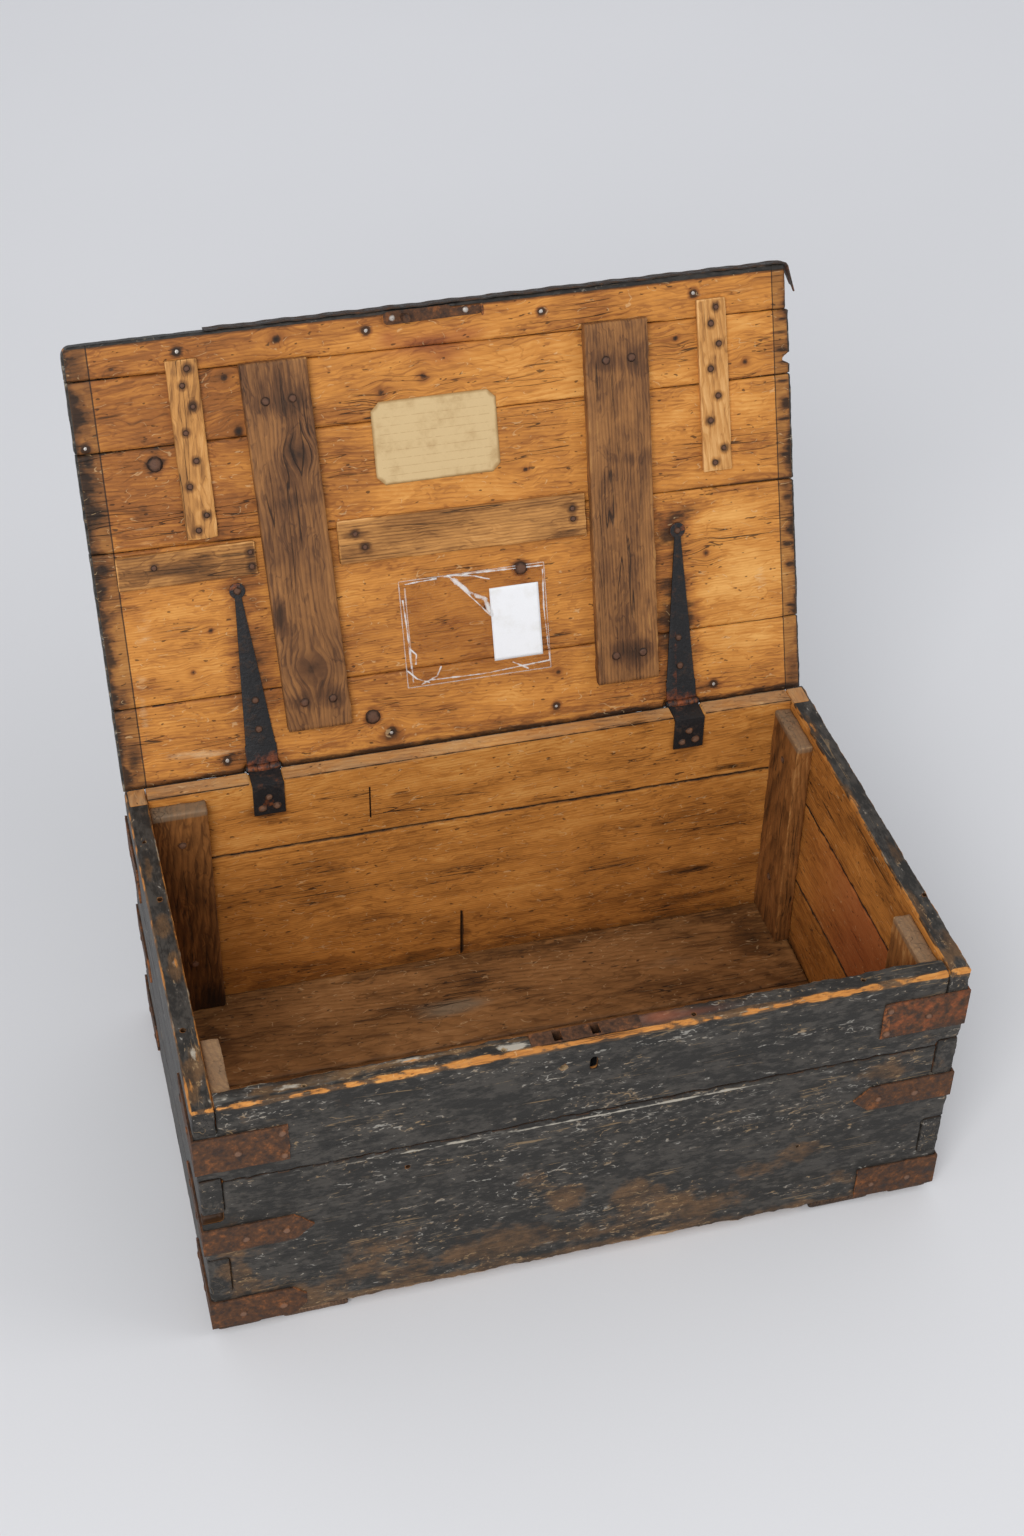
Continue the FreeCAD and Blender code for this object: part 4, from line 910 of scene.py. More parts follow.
# %% A strip that has come loose
bpy.ops.object.select_all(action="DESELECT")
bpy.ops.mesh.primitive_grid_add(x_subdivisions=190, y_subdivisions=8, size=1, location=(0, 0, 0))
strip = bpy.context.active_object
strip.name = strip.data.name = "torn_edging"
u, v = points_of(strip)[:, 0] / 1000 + 0.5, points_of(strip)[:, 1] / 1000 + 0.5
start, end, loose = -280.8, 449.2, 36  # where the strip starts, the lid's corner, and how much is loose
bend_x, bend, most_turn = 446, 5, 1.35  # where the bend is, its radius, and how far it turns
run = start + u * (end - start + loose)
past = np.maximum(run - bend_x, 0)
turn = np.minimum(past / bend, most_turn)
rest = np.maximum(past - bend * most_turn, 0) * (1 - 0.25 * v + 0.12 * wander(v * 22, 3))
x = np.minimum(run, bend_x) + bend * np.sin(turn) + rest * 0.22 + (past > 0) * 0.15 * rest * v
s = 543.3 + np.minimum(run + 450, 896) / 300 - bend * (1 - np.cos(turn)) - rest * 0.97
s += 0.7 * wander(run, 11) * np.where(past > 0, 0.3, 1) + 0.9
low = FACE + 0.5 + 0.4 * wander(run, 23)
out = low + v * (25.3 - low)
move_points(strip, np.stack([x, -(LID_START + s), out], 1))
paint_on(strip, "red", 0.5 * (past > 2))
finish_with(strip, "SOLIDIFY", thickness=0.0019, offset=0)
strip.data.transform(SHUT.inverted())
bpy.ops.object.shade_smooth_by_angle(angle=math.radians(50))
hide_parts("edging_strip")
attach(strip, "lid")
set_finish(strip, "edging")
forged["edging_strip"] = strip
print("edging", len(strip.data.polygons), "faces")

# %% [markdown]
# ## What happened to the lid
# The lid's inside has soot round the straps, black smudges where its ends lay on the walls, and pale rubbed
# and scuffed places. The tone table makes whole areas darker or paler, partly as the wood's own tone and partly
# as painted light and shade: paler at the right, darker at the upper left. The grain bends round each knot. Every
# dab is x, s, a size each way and a strength, in millimetres on the lid.

# %% Marks on the lid
LID_SOOT = [
    (-273, 110, 44, 130, 0.75), (-273, 226, 26, 24, 0.6), (283, 100, 40, 120, 0.85), (283, 226, 26, 26, 0.75),
    (310, 250, 50, 14, 0.6), (0, 6, 420, 9, 0.6), (-165, 250, 16, 240, 0.35), (262, 250, 14, 240, 0.3),
    (-437, 525, 18, 26, 0.8), (-438, 470, 12, 22, 0.75), (-437, 405, 10, 18, 0.85), (-439, 345, 10, 16, 0.7),
    (-438, 275, 16, 18, 0.95), (-434, 215, 10, 12, 0.7), (-440, 160, 10, 26, 0.7), (-436, 105, 14, 22, 0.75),
    (-432, 30, 14, 26, 0.85), (440, 20, 14, 40, 0.6), (440, 120, 8, 60, 0.5), (440, 250, 10, 40, 0.55),
    (438, 330, 10, 30, 0.5), (-15, 500, 50, 12, 0.55), (4, 482, 26, 10, 0.35), (-358, 394, 22, 20, 0.5),
    (442, 478, 14, 3, 1.0), (440, 462, 18, 3, 1.0), (441, 440, 16, 5, 1.0), (443, 424, 16, 3, 1.0),
    (441, 400, 14, 3, 1.0), (443, 372, 12, 14, 0.9), (441, 352, 14, 3, 1.0), (442, 306, 16, 4, 1.0),
    (440, 250, 10, 4, 1.0), (440, 188, 14, 5, 1.0), (442, 160, 10, 4, 0.9), (440, 105, 12, 3, 0.9),
    (80, 205, 20, 18, 0.6), (-105, 13, 14, 12, 0.6), (-317, 9, 12, 9, 0.6), (114, 15, 12, 9, 0.5),
    (329, 12, 16, 8, 0.6), (-330, 416, 60, 7, 0.5), (-300, 295, 100, 7, 0.35), (330, 402, 70, 7, 0.45),
    (380, 270, 60, 8, 0.55),
]
LID_WORN = [
    (-340, 180, 70, 70, 0.7), (-365, 60, 60, 40, 0.55), (370, 190, 55, 60, 0.8), (350, 60, 70, 45, 0.6),
    (0, 300, 200, 60, 0.35), (-60, 170, 110, 60, 0.35), (120, 430, 120, 40, 0.4), (-350, 470, 40, 40, 0.3),
    (390, 340, 30, 60, 0.4), (-20, 50, 180, 25, 0.3), (0, 520, 380, 14, 0.35), (190, 120, 60, 60, 0.2),
]
LID_SCUFF = [
    (-398, 185, 20, 60, 0.5), (-372, 26, 60, 7, 0.65), (-412, 90, 9, 60, 0.55), (-380, 300, 30, 5, 0.6),
    (-385, 318, 34, 4, 0.6), (-400, 400, 12, 40, 0.4), (-330, 20, 50, 4, 0.6), (-300, 335, 40, 8, 0.4),
    (400, 150, 14, 60, 0.5), (380, 30, 40, 6, 0.5), (360, 520, 70, 5, 0.5), (-20, 20, 200, 4, 0.35),
    (330, 120, 50, 30, 0.25), (-340, 110, 40, 60, 0.3),
]
LID_RED = [
    (-15, 500, 52, 13, 0.9), (4, 482, 26, 12, 0.6), (35, 506, 22, 8, 0.6), (-62, 512, 12, 10, 0.7),
    (283, 236, 22, 12, 0.5),
]
# Part wood tone, part painted light and shade: paler at the right, darker at the upper left.
LID_TONE_AND_LIGHT = [
    (-330, 440, 130, 120, 0.25), (-130, 330, 50, 120, 0.07), (40, 60, 160, 30, 0.06), (270, 480, 40, 60, 0.08),
    (140, 240, 70, 30, -0.05), (0, 450, 160, 60, -0.10), (-60, 530, 330, 14, 0.17), (-80, 140, 120, 80, 0.06),
    (370, 170, 120, 130, -0.14), (360, 450, 120, 110, -0.12), (300, 520, 160, 30, 0.04),
    (180, 420, 60, 80, -0.12),
]
KNOTS = [  # x, s and radius
    (-197, 525, 6), (-254, 421, 7), (-264, 487, 5), (-77, 447, 5), (-23, 460, 5), (96, 330, 4), (327, 190, 5),
    (-345, 130, 4), (120, 60, 4), (390, 430, 4), (-105, 14, 7), (-317, 180, 4), (300, 470, 4), (30, 160, 3),
]
print("marks on the lid", len(LID_SOOT + LID_WORN + LID_SCUFF + LID_RED + LID_TONE_AND_LIGHT + KNOTS))

# %% [markdown]
# ## What happened to the paint
# The front's paint is thin low down, where brown shows through, and has pale scuffs. The rims are rubbed and
# scuffed by everything that was ever lifted in or out. On the front a dab is x and z, and on the rims x and y.

# %% Marks on the front and the rims
FRONT_THIN = [
    (-250, 85, 70, 40, 0.42), (-120, 60, 50, 34, 0.45), (-30, 110, 34, 40, 0.42), (60, 110, 40, 34, 0.45),
    (120, 60, 60, 30, 0.5), (205, 98, 36, 24, 0.5), (-330, 40, 90, 26, 0.36), (-160, 130, 24, 30, 0.36),
    (-60, 165, 22, 18, 0.36), (270, 120, 34, 22, 0.42), (330, 50, 60, 20, 0.4), (-420, 120, 24, 120, 0.4),
    (400, 300, 30, 60, 0.25), (350, 235, 40, 18, 0.4), (0, 18, 460, 10, 0.7), (20, 50, 300, 22, 0.34),
]
FRONT_SCUFF = [
    (330, 238, 60, 14, 0.9), (375, 205, 30, 22, 0.6), (-180, 260, 120, 14, 0.5), (-110, 250, 20, 60, 0.45),
    (-190, 300, 60, 20, 0.4), (-300, 30, 60, 22, 0.8), (-160, 30, 90, 16, 0.6), (20, 50, 120, 16, 0.4),
    (150, 300, 16, 60, 0.35), (262, 345, 30, 20, 0.5), (-36, 345, 16, 14, 0.8), (60, 330, 60, 14, 0.4),
    (-400, 225, 50, 16, 0.55), (0, 256.8, 460, 3.2, 1.25), (60, 268, 30, 5, 0.7), (-130, 190, 14, 50, 0.4),
    (390, 90, 40, 14, 0.6), (-60, 360, 200, 8, 0.35), (300, 365, 150, 8, 0.4), (-380, 360, 60, 8, 0.5),
]
RIM_SCUFF = [
    (-90, -263, 28, 10, 1.3), (-415, -262, 34, 10, 1.1), (-60, -255, 40, 5, 0.7), (-200, -260, 60, 8, 0.8),
    (-340, -262, 50, 9, 1.05), (-280, -256, 40, 6, 0.8), (100, -258, 80, 8, 0.8), (240, -256, 80, 8, 0.8),
    (-200, -254, 90, 5, 1.0), (-300, -264, 40, 5, 1.1), (-434, -49, 8, 22, 1.0), (-436, 10, 8, 16, 0.9),
    (-434, -190, 8, 30, 0.9), (-440, 200, 8, 30, 0.7), (438, 100, 8, 60, 0.7), (438, -60, 8, 50, 0.7),
    (436, -180, 8, 40, 0.8), (360, -262, 60, 8, 0.8),
]
RIM_WORN = [
    (-300, -258, 40, 8, 0.5), (-433, -49, 8, 26, 0.9), (-438, 20, 10, 22, 0.8), (-430, -200, 8, 30, 0.7),
    (-442, -235, 8, 30, 0.8), (-440, 130, 6, 30, 0.6), (430, 190, 6, 30, 0.8), (428, 40, 6, 40, 0.7),
    (440, -60, 8, 30, 0.6), (-330, -262, 70, 6, 0.62), (-200, -258, 50, 5, 0.6), (430, -160, 6, 40, 0.8),
    (445, -225, 10, 30, 0.8), (428, -250, 10, 16, 0.7), (-60, -255, 300, 3, 0.5),
]
RIM_RED = [(80, -258, 22, 10, 0.9), (110, -262, 40, 5, 0.5)]
print("marks on the paint", len(FRONT_THIN + FRONT_SCUFF + RIM_SCUFF + RIM_WORN + RIM_RED))

# %% [markdown]
# ## What happened inside
# The inside is darker in its corners, low on the walls and under the hinge leaves, the floor has grey patches,
# and each nail of a batten has stained the wood round it. The back is measured in x and z, the floor in x and y,
# battens in x and s.

# %% Marks inside
BACK_SOOT = [
    (-273, 335, 34, 28, 0.7), (283, 335, 34, 28, 0.75), (-90, 34, 50, 12, 0.7), (-20, 60, 12, 40, 0.5),
    (330, 60, 80, 10, 0.6), (350, 285, 60, 8, 0.8), (200, 262, 220, 6, 0.4), (-250, 262, 200, 6, 0.5),
    (300, 110, 60, 8, 0.7), (-160, 180, 30, 12, 0.3), (60, 190, 40, 10, 0.35), (-300, 120, 60, 30, 0.3),
    (-380, 30, 60, 20, 0.6), (100, 40, 200, 10, 0.45),
]
FLOOR_SOOT = [
    (-330, -30, 60, 14, 0.5), (-380, 150, 40, 60, 0.5), (0, 235, 430, 14, 0.5), (200, 120, 120, 12, 0.35),
    (380, 180, 50, 60, 0.6), (-150, -100, 120, 14, 0.35), (100, -150, 160, 16, 0.3), (0, 0, 500, 30, 0.15),
    (-20, 190, 30, 14, 0.6),
]
FLOOR_GREY = [
    (-60, 150, 70, 22, 0.8), (160, 60, 150, 30, 0.5), (-250, 20, 80, 30, 0.35), (250, 160, 90, 20, 0.4),
    (0, -120, 200, 40, 0.25),
]
BATTEN_SOOT = [
    (-222, 453, 22, 18, 0.6), (-185, 449, 18, 16, 0.6), (-205, 395, 50, 50, 0.45), (-206, 480, 50, 30, 0.45),
    (-214, 76, 20, 16, 0.6), (-176, 75, 20, 18, 0.7), (-232, 190, 10, 34, 0.9), (-200, 330, 40, 14, 0.5),
    (-196, 100, 40, 40, 0.4), (203, 453, 18, 16, 0.7), (241, 450, 18, 30, 0.8), (220, 330, 34, 12, 0.5),
    (244, 310, 14, 50, 0.45), (200, 80, 22, 18, 0.7), (233, 79, 20, 18, 0.7), (220, 60, 44, 34, 0.35),
    (215, 480, 44, 30, 0.3), (225, 180, 30, 60, 0.25), (-370, 262, 60, 10, 0.75), (-330, 272, 40, 14, 0.5),
    (-127, 277, 22, 8, 0.8), (-116, 255, 16, 8, 0.7), (143, 278, 18, 8, 0.7), (144, 243, 22, 6, 0.7),
    (-20, 244, 120, 3, 0.4), (-313, 500, 16, 10, 0.6), (-313, 455, 10, 22, 0.5), (-305, 390, 12, 30, 0.6),
    (-313, 340, 10, 14, 0.6), (346, 490, 14, 12, 0.5), (346, 440, 10, 10, 0.6), (340, 370, 8, 12, 0.6),
    (352, 330, 8, 12, 0.5), (346, 300, 14, 14, 0.5),
]
BATTEN_KNOTS = [(-199, 118, 15), (-186, 388, 8)]
OWN_TONE = {  # pieces that are darker, above 0, or paler than their neighbours
    "narrow_batten_right": -0.12, "narrow_batten_left": -0.08, "seam_strip_left": 0.08,
    "wide_batten_left": 0.04, "wide_batten_right": -0.02,
}
print("marks inside", len(BACK_SOOT + FLOOR_SOOT + FLOOR_GREY + BATTEN_SOOT + BATTEN_KNOTS))

# %% [markdown]
# ## How a lid board is read
# The dabs now become one number for each point of a board, called a mark: `soot`, `rubbed`, `scuff` and so on.
# `at` holds where the points are. `line` says how far a point is past the line that the walls drew on the
# lid's ends, and `arris` how far it is from its board's nearest arris.

# %% Marks of a lid board
FAR_INSIDE = -60.0  # a `line` where there is none


def near_end(values):
    """How far each value is from the nearer end of its range."""
    return np.minimum(values - values.min(), values.max() - values)


def lid_marks(node, at, m):
    x, s = at.x, at.v - LID_START
    inside = 1 - soft(at.w, 8, 18)
    sooty_edges = np.maximum(soft(s, 534, 541), soft(-s, -4, 8))
    joint = near_end(at.v) < 1.2
    soot = np.maximum(dabs(x, s, LID_SOOT) * inside, inside * 0.9 * sooty_edges)
    # Past s 540 the lid's front edge face is made dark: painted shade on a face that turns up into the light.
    m["soot"] = np.maximum(np.maximum(soot, joint & (s > 0) & (s < 535)), 0.9 * soft(s, 540, 542))
    m["line"] = np.where(inside > 0.5, np.maximum(-x - 421, (x - 429) * 1.25), FAR_INSIDE)
    if node in ("lid_board_lower", "lid_board_middle"):  # their seam is open at the right
        # The open seam's gap is painted as a wider dark seam here: painted shade.
        m["arris"] = np.where((x > 235) & (x < 446) & (s > 240) & (s < 320), m["arris"] * 0.35, m["arris"])
    m["red"] = inside * dabs(x, s, LID_RED)
    m["scuff"] = dabs(x, s, LID_SCUFF) * inside
    m["rubbed"] = dabs(x, s, LID_WORN) * inside
    # Whole areas darker or paler: partly the wood's own tone, partly painted light and shade.
    m["tone"] = sum(
        strength * np.exp(-((x - place_x) / size_x) ** 2 - ((s - place_s) / size_s) ** 2)
        for place_x, place_s, size_x, size_s, strength in LID_TONE_AND_LIGHT)
    m["paint"] = np.maximum(soft(at.w, 21, 24), np.maximum(soft(s, 539, 541.5), soft(np.abs(x), 446, 449)))


print("a lid board has", ("soot", "line", "arris", "red", "scuff", "rubbed", "tone", "paint"))

# %% [markdown]
# ## How a wall board is read
# The walls are painted outside and on the rim. The paint is gone where hands, rope and the lid met it: along
# the rim's outer arris, at the foot, and on the brink of the end walls. Joints and the rotten end of the lower
# front board are black.

# %% Marks of a wall board
def bare_places(x, y, z, end_wall):
    """Where the walls' paint is rubbed away."""
    front, rim = y < -268, z > 378
    crest = z + (-y - 275) + 1.4 * wander(x, 13) - 1.5 * soft(-x, 180, 330)
    patchy = 0.88 + 0.12 * wander(x, 29) + 0.16 * wander(x + 2 * y, 6)
    brink = np.maximum(soft(-np.abs(x), -427, -425.5), soft(np.abs(x), 447, 448.5)) * (z > 377) * end_wall
    rubbed = dabs(x, z, FRONT_THIN) * front
    for more in (
            patchy * soft(crest, 375, 380) * soft(-y, 264, 269), 0.85 * soft(-z, -19, -15) * front,
            dabs(x, y, RIM_WORN) * rim, brink * (0.72 + 0.25 * wander(y, 14) + 0.12 * wander(y, 5))):
        rubbed = np.maximum(rubbed, more)
    return rubbed


def wall_marks(node, at, m):
    x, y, z = at.x, at.y, at.z
    end_wall, long_wall = "left_board" in node or "right_board" in node, "front" in node or "back" in node
    outside = np.maximum(soft(np.abs(x), 445, 448), soft(np.abs(y), 270, 273))
    inner = (1 - outside) * (z < 383)
    back_rim = y > 240
    seam = (near_end(at.v) < 1.2) & (z > 18) & (z < 378)
    joint = seam | ((near_end(at.u) < 1.2) & (np.abs(x) < 440) & long_wall)
    rotten = (x < -416) & (z > 170) & (z < 213) & (y < -262) & (y > -273)
    black = joint | rotten
    m["rubbed"] = bare_places(x, y, z, end_wall)
    m["paint"] = np.maximum(outside, soft(z, 380, 383) * (y < 240)) * (1 - black)
    # The inside walls are darker towards the floor.
    m["soot"] = np.maximum(inner * np.maximum(0.45 * soft(-z, -60, -26), dabs(x, z, BACK_SOOT) * (y > 200)), black)
    grey = np.maximum(0.6 * soft(z, 381, 383) * back_rim, 0.3 * soft(z, 374, 380) * inner)
    m["grey"] = np.maximum(grey, 0.75 * soft(-z, -250, -150) * (y < -262))
    # The back's inside: its upper board paler, its lower board darker towards the bottom.
    m["tone"] = (inner * (y > 200) * np.where(z > 262, -0.11, 0.06 * soft(-z, -170, -60) - 0.02)
                 - 0.12 * soft(z, 380, 383) * back_rim)
    below, above = z - z.min() + 99 * (z.min() < 20), z.max() - z + 99 * (z.max() > 375)
    m["line"] = -0.4 * np.minimum(below, above)
    m["scuff"] = np.maximum(dabs(x, z, FRONT_SCUFF) * (y < -268), dabs(x, y, RIM_SCUFF) * (z > 378))
    m["red"] = dabs(x, y, RIM_RED) * (z > 378)
    if end_wall:  # the tongues' ends keep crisp corners
        m["arris"] = np.where((y < -268) | (y > 268), 12, m["arris"])
    if node == "right_board_middle":  # its inside is redder
        m["red"] = inner * soft(-y, -190, 40)
        m["tone"] = m["tone"] - 0.22 * m["red"]


print("the front's middle is thin by", round(float(dabs(np.zeros(1), np.full(1, 100.0), FRONT_THIN)[0]), 2))

# %% [markdown]
# ## How the other wood is read
# The floor, the posts and the battens need only a few marks each. Skids need none, for nobody sees more of
# them than their ends.

# %% Marks of floor, posts and battens
def floor_marks(node, at, m):
    m["soot"] = dabs(at.x, at.y, FLOOR_SOOT)
    m["grey"] = dabs(at.x, at.y, FLOOR_GREY)
    # The front part of the floor is painted paler: painted light where the front wall's shade falls.
    m["tone"] = -0.16 * soft(-at.y, 40, 140)


def post_marks(node, at, m):
    x, y, z = at.x, at.y, at.z
    m["grey"] = soft(z, 360, 366)
    # The rear left post is painted darker, most of all low down: painted shade. All posts are darker towards the
    # bottom, and the front ones paler near the top.
    m["tone"] = -0.14 * (y < 0) * soft(z, 300, 366) - 0.06 * (y > 0) + 0.16 * (y > 0) * (x < 0)
    m["soot"] = 0.5 * soft(-z, -90, -30) + 0.4 * (x < 0) * (y > 0) * soft(-z, -330, -60)


def batten_marks(node, at, m):
    s = down_lid(at.flat)
    m["soot"] = dabs(at.x, s, BATTEN_SOOT)
    m["grey"] = 0.3 * soft(s, 494, 500) + 0.15 * m["soot"]


MARKS = {"lid_wood": lid_marks, "painted_wood": wall_marks, "floor_wood": floor_marks, "post_wood": post_marks,
         "batten_wood": batten_marks, "strip_wood": batten_marks}
print("woods with marks", list(MARKS))

# %% [markdown]
# ## Knots, nails and holes
# A knot bends the grain, so `across` is drawn towards its middle, and the wood round it is dark. Round each
# nail the iron has stained the wood black, and holes and saw cuts are black inside.

# %% Bend the grain and stain the nails
def knots_in(node, how, at):
    """The way across the board, bent round its knots, and how near each point is to a knot."""
    across, knot = at.v.copy(), np.zeros_like(at.u)
    if how["on_lid"]:
        for a, b, r in KNOTS if how["slot"] == "lid_wood" else BATTEN_KNOTS if "wide" in node else ():
            far = np.hypot(at.flat[:, 0] - a, down_lid(at.flat) - b)
            if far.min() < r:
                dip = np.exp(-(far / (3 * r)) ** 2)
                across += (at.v[far.argmin()] - at.v) * 0.7 * dip * (1 + 0.3 * wander(far, 9))
                knot = np.maximum(knot, np.exp(-(far / r) ** 2))
    return across, knot


def stain(node, how, at, m):
    """Adds the black of nails, holes and saw cuts."""
    if how["on_lid"]:
        for nailed, reach in (("batten_nails", 9), ("rose_nails", 14), ("edge_tacks", 9)):
            for place in driven[nailed]:
                far = np.linalg.norm(at.points - place, axis=1)
                m["soot"] = np.maximum(m["soot"], 1.1 * np.exp(-(far / reach) ** 2))
    for place, way, radius, depth in HOLES.get(node, ()):
        off = at.points - place
        off = np.linalg.norm(off - np.outer(off @ np.array(way), way), axis=1)
        deep = (off < radius + 0.4) * 1.0
        m["soot"], m["paint"] = np.maximum(m["soot"], deep), m["paint"] * (1 - deep)
    for low, high in CUTS.get(node, ()):
        deep = np.all((at.points > np.array(low) - 0.3) & (at.points < np.array(high) + 0.3), axis=1) * 1.0
        m["soot"] = np.maximum(m["soot"], deep)


print("knots", len(KNOTS) + len(BATTEN_KNOTS))

# %% [markdown]
# ## The survey
# Each board is shifted by chance in the tree that it was sawn from, so that no two have the same rings. That
# place is `grain`, the one mark with three numbers. Then the board's own marks are found and painted on.

# %% Paint the marks on every board
def survey(node):
    how, piece = BOARDS[node], worn[node]
    u, v, w = own_ways(piece, how["ways"], how["on_lid"])
    points = points_of(piece)
    x, y, z = points.T
    at = SimpleNamespace(u=u, v=v, w=w, x=x, y=y, z=z, points=points, flat=shut(points))
    tree = rng.uniform((0, 0.05, 0.02), (4, 0.22, 0.07)) * (1, rng.choice((-1, 1)), 1)
    across, knot = knots_in(node, how, at)
    paint_on(piece, "grain", np.stack([u, across, w], 1) / 1000 - [0, v.mean() / 1000, w.mean() / 1000] + tree)
    m = {"arris": near_arris(u, v, w), "line": np.full_like(u, FAR_INSIDE)}
    m.update((name, np.zeros_like(u)) for name in ("soot", "grey", "scuff", "red", "tone", "rubbed", "paint"))
    if how["slot"] in MARKS:
        MARKS[how["slot"]](node, at, m)
    m["tone"] = m["tone"] + OWN_TONE.get(node, 0) + 0.25 * knot ** 0.5
    m["soot"] = np.maximum(m["soot"], (0.9 if how["slot"] == "lid_wood" else 0.5) * knot)
    stain(node, how, at, m)
    for name, values in m.items():
        paint_on(piece, name, values)


for node in worn:
    survey(node)
print("painted measures", [a.name for a in worn["lid_board_upper"].data.attributes if not a.is_internal])

# %% [markdown]
# ## Sawn pine
# A board is a slice of a tree. Its rings are nested cones, so the grain is drawn by the distance from the
# tree's middle, stretched out along the trunk, and bent by a slow noise. Fine fibres run along it.

# %% Rings and fibres
def pine(f, ring, sway=0.007, bold=0.09):
    """How dark the pine is from 0 to 1, its relief in millimetres, and the place in the tree."""
    tree = read(f, "grain", vector=True)
    slow = noise(f, stretch(f, tree, 3.4, 14, 14), 1, 4, 0.5)
    radius = f.node("ShaderNodeVectorMath", {"operation": "LENGTH"}, {0: stretch(f, tree, 0.07, 1, 1)}, out=1)
    turn = f.node("ShaderNodeMath", {"operation": "FRACT"}, {0: (radius + (slow - 0.5) * sway * 2) / (ring / 1000)})
    late = step(f, turn, 0.25, 0.9) * (1 - step(f, turn, 0.9, 1.0))
    bend = noise(f, stretch(f, tree, 9, 15, 15, (4, 7, 2)), 1, 3, 0.6)
    bent = f.node("ShaderNodeVectorMath", {"operation": "MULTIPLY_ADD"}, {0: bend, 1: (0, 0.045, 0.045), 2: tree})
    fibre = noise(f, stretch(f, bent, 17, 300, 300), 1, 4, 0.65)
    blotch = noise(f, stretch(f, bent, 5.5, 16, 16), 1, 5, 0.62)
    mottle = noise(f, stretch(f, bent, 26, 62, 62, (2, 6, 1)), 1, 3, 0.6)
    hair = lines(f, noise(f, stretch(f, bent, 5, 90, 90, (1, 1, 3)), 1, 2), 0.04)
    dark = late * bold + (fibre - 0.5) * 0.34 + (blotch - 0.5) * 1.0 + (mottle - 0.5) * 0.36 + hair * 0.12 + 0.375
    height = late * bold * 0.3 - fibre * 0.25 + (blotch - 0.5) * 0.3
    return dark, height, tree, blotch


def wood_colour(f, dark, tones):
    """Four tones from pale to dark."""
    places = (0.0, 0.3, 0.62, 1.0)
    return f.node("ShaderNodeValToRGB", {"stops": [(p, srgb(t)) for p, t in zip(places, tones)]}, {"Fac": dark})


AMBER = ("#E2A65A", "#C68339", "#925825", "#432710")
print("tones of the lid", AMBER)

# %% [markdown]
# ## Bare boards, browned
# Bare pine is browned by soot and handling. Each stage of its life is one mix over the last: soot, weather,
# the band outside the line of the walls, rust red, cracks and open seams, scratches, and pale scuffs. The
# marks give the places, and a middling noise, `breakup`, and a fine one, `grit`, break their edges up.

# %% Bare wood
def bare_colour(f, b, tones, grime):
    """The colour of a board's bare wood. What the paint needs as well is kept in b."""
    seam = 1 - step(f, b.arris + (b.breakup - 0.5) * 1.6, 0.7, 2.1)
    halo = 1 - step(f, b.arris + (b.breakup - 0.5) * 9, 0.5, 6)
    smudge = noise(f, stretch(f, b.tree, 13, 22, 22, (6, 3, 2)), 1, 4, 0.6)
    outer = step(f, b.line, -1, 1) * 0.30 + step(f, b.line + (smudge - 0.5) * 70, 6, 32) * 0.75
    sooty = most(f, b.soot * 1.15, outer) + grime + (b.breakup - 0.5) * 1.0 + (b.grit - 0.5) * 0.35
    stained = step(f, sooty, 0.34, 0.72)
    dark = b.dark + b.tone + stained * 0.24 - b.rubbed * 0.20 + halo * 0.14
    b.crack = lines(f, noise(f, stretch(f, b.tree, 5, 95, 95, (0, 3, 0)), 1, 1), 0.012)
    b.crack = b.crack * step(f, b.blotch, 0.50, 0.62)
    b.scratch = lines(f, noise(f, stretch(f, b.tree, 26, 60, 60, (7, 0, 0)), 1, 1), 0.013)
    b.scratch = b.scratch * step(f, b.grit, 0.52, 0.6)
    b.speck = step(f, noise(f, stretch(f, b.tree, 90, 210, 210, (2, 2, 9)), 1, 1), 0.70, 0.76)
    b.weather = step(f, b.grey + (b.breakup - 0.5) * 0.7, 0.3, 0.9)
    black = most(f, step(f, sooty, 0.66, 0.98) * 0.85, most(f, b.crack * 0.8, b.speck * 0.7))
    scuffed = step(f, b.scuff * (1 - b.paint) + (b.breakup - 0.5) * 1.1 + (b.grit - 0.5) * 0.5, 0.42, 0.95)
    bare = wood_colour(f, dark, tones)
    bare = mix(f, b.weather * 0.75, bare, tint(f, srgb("#8F8069"), 1.25 - dark * 0.9))
    bare = mix(f, step(f, b.line, -1, 1) * 0.42, bare, tint(f, srgb("#5A442C"), 1.3 - dark * 0.8))
    bare = mix(f, b.red * 0.8, bare, tint(f, srgb("#914A28"), 1.25 - dark * 0.8))
    bare = mix(f, most(f, black, seam * 0.92 * (1 - b.paint)), bare, srgb("#1B120B"))
    bare = mix(f, b.scratch * 0.35, bare, srgb("#E2BE8C"))
    return mix(f, scuffed * 0.55, bare, srgb("#D9BD94"))


print("bare wood ready")

# %% [markdown]
# ## Slate paint
# The old paint is nearly black, a little warm, and thin where brown shows through. Thin pale lines and flecks
# are scratches of several sizes: each is a noise's middle line or its peaks, let through only in clusters, for
# evenly spread scratches look printed. Edges and scuffed places are chalky.

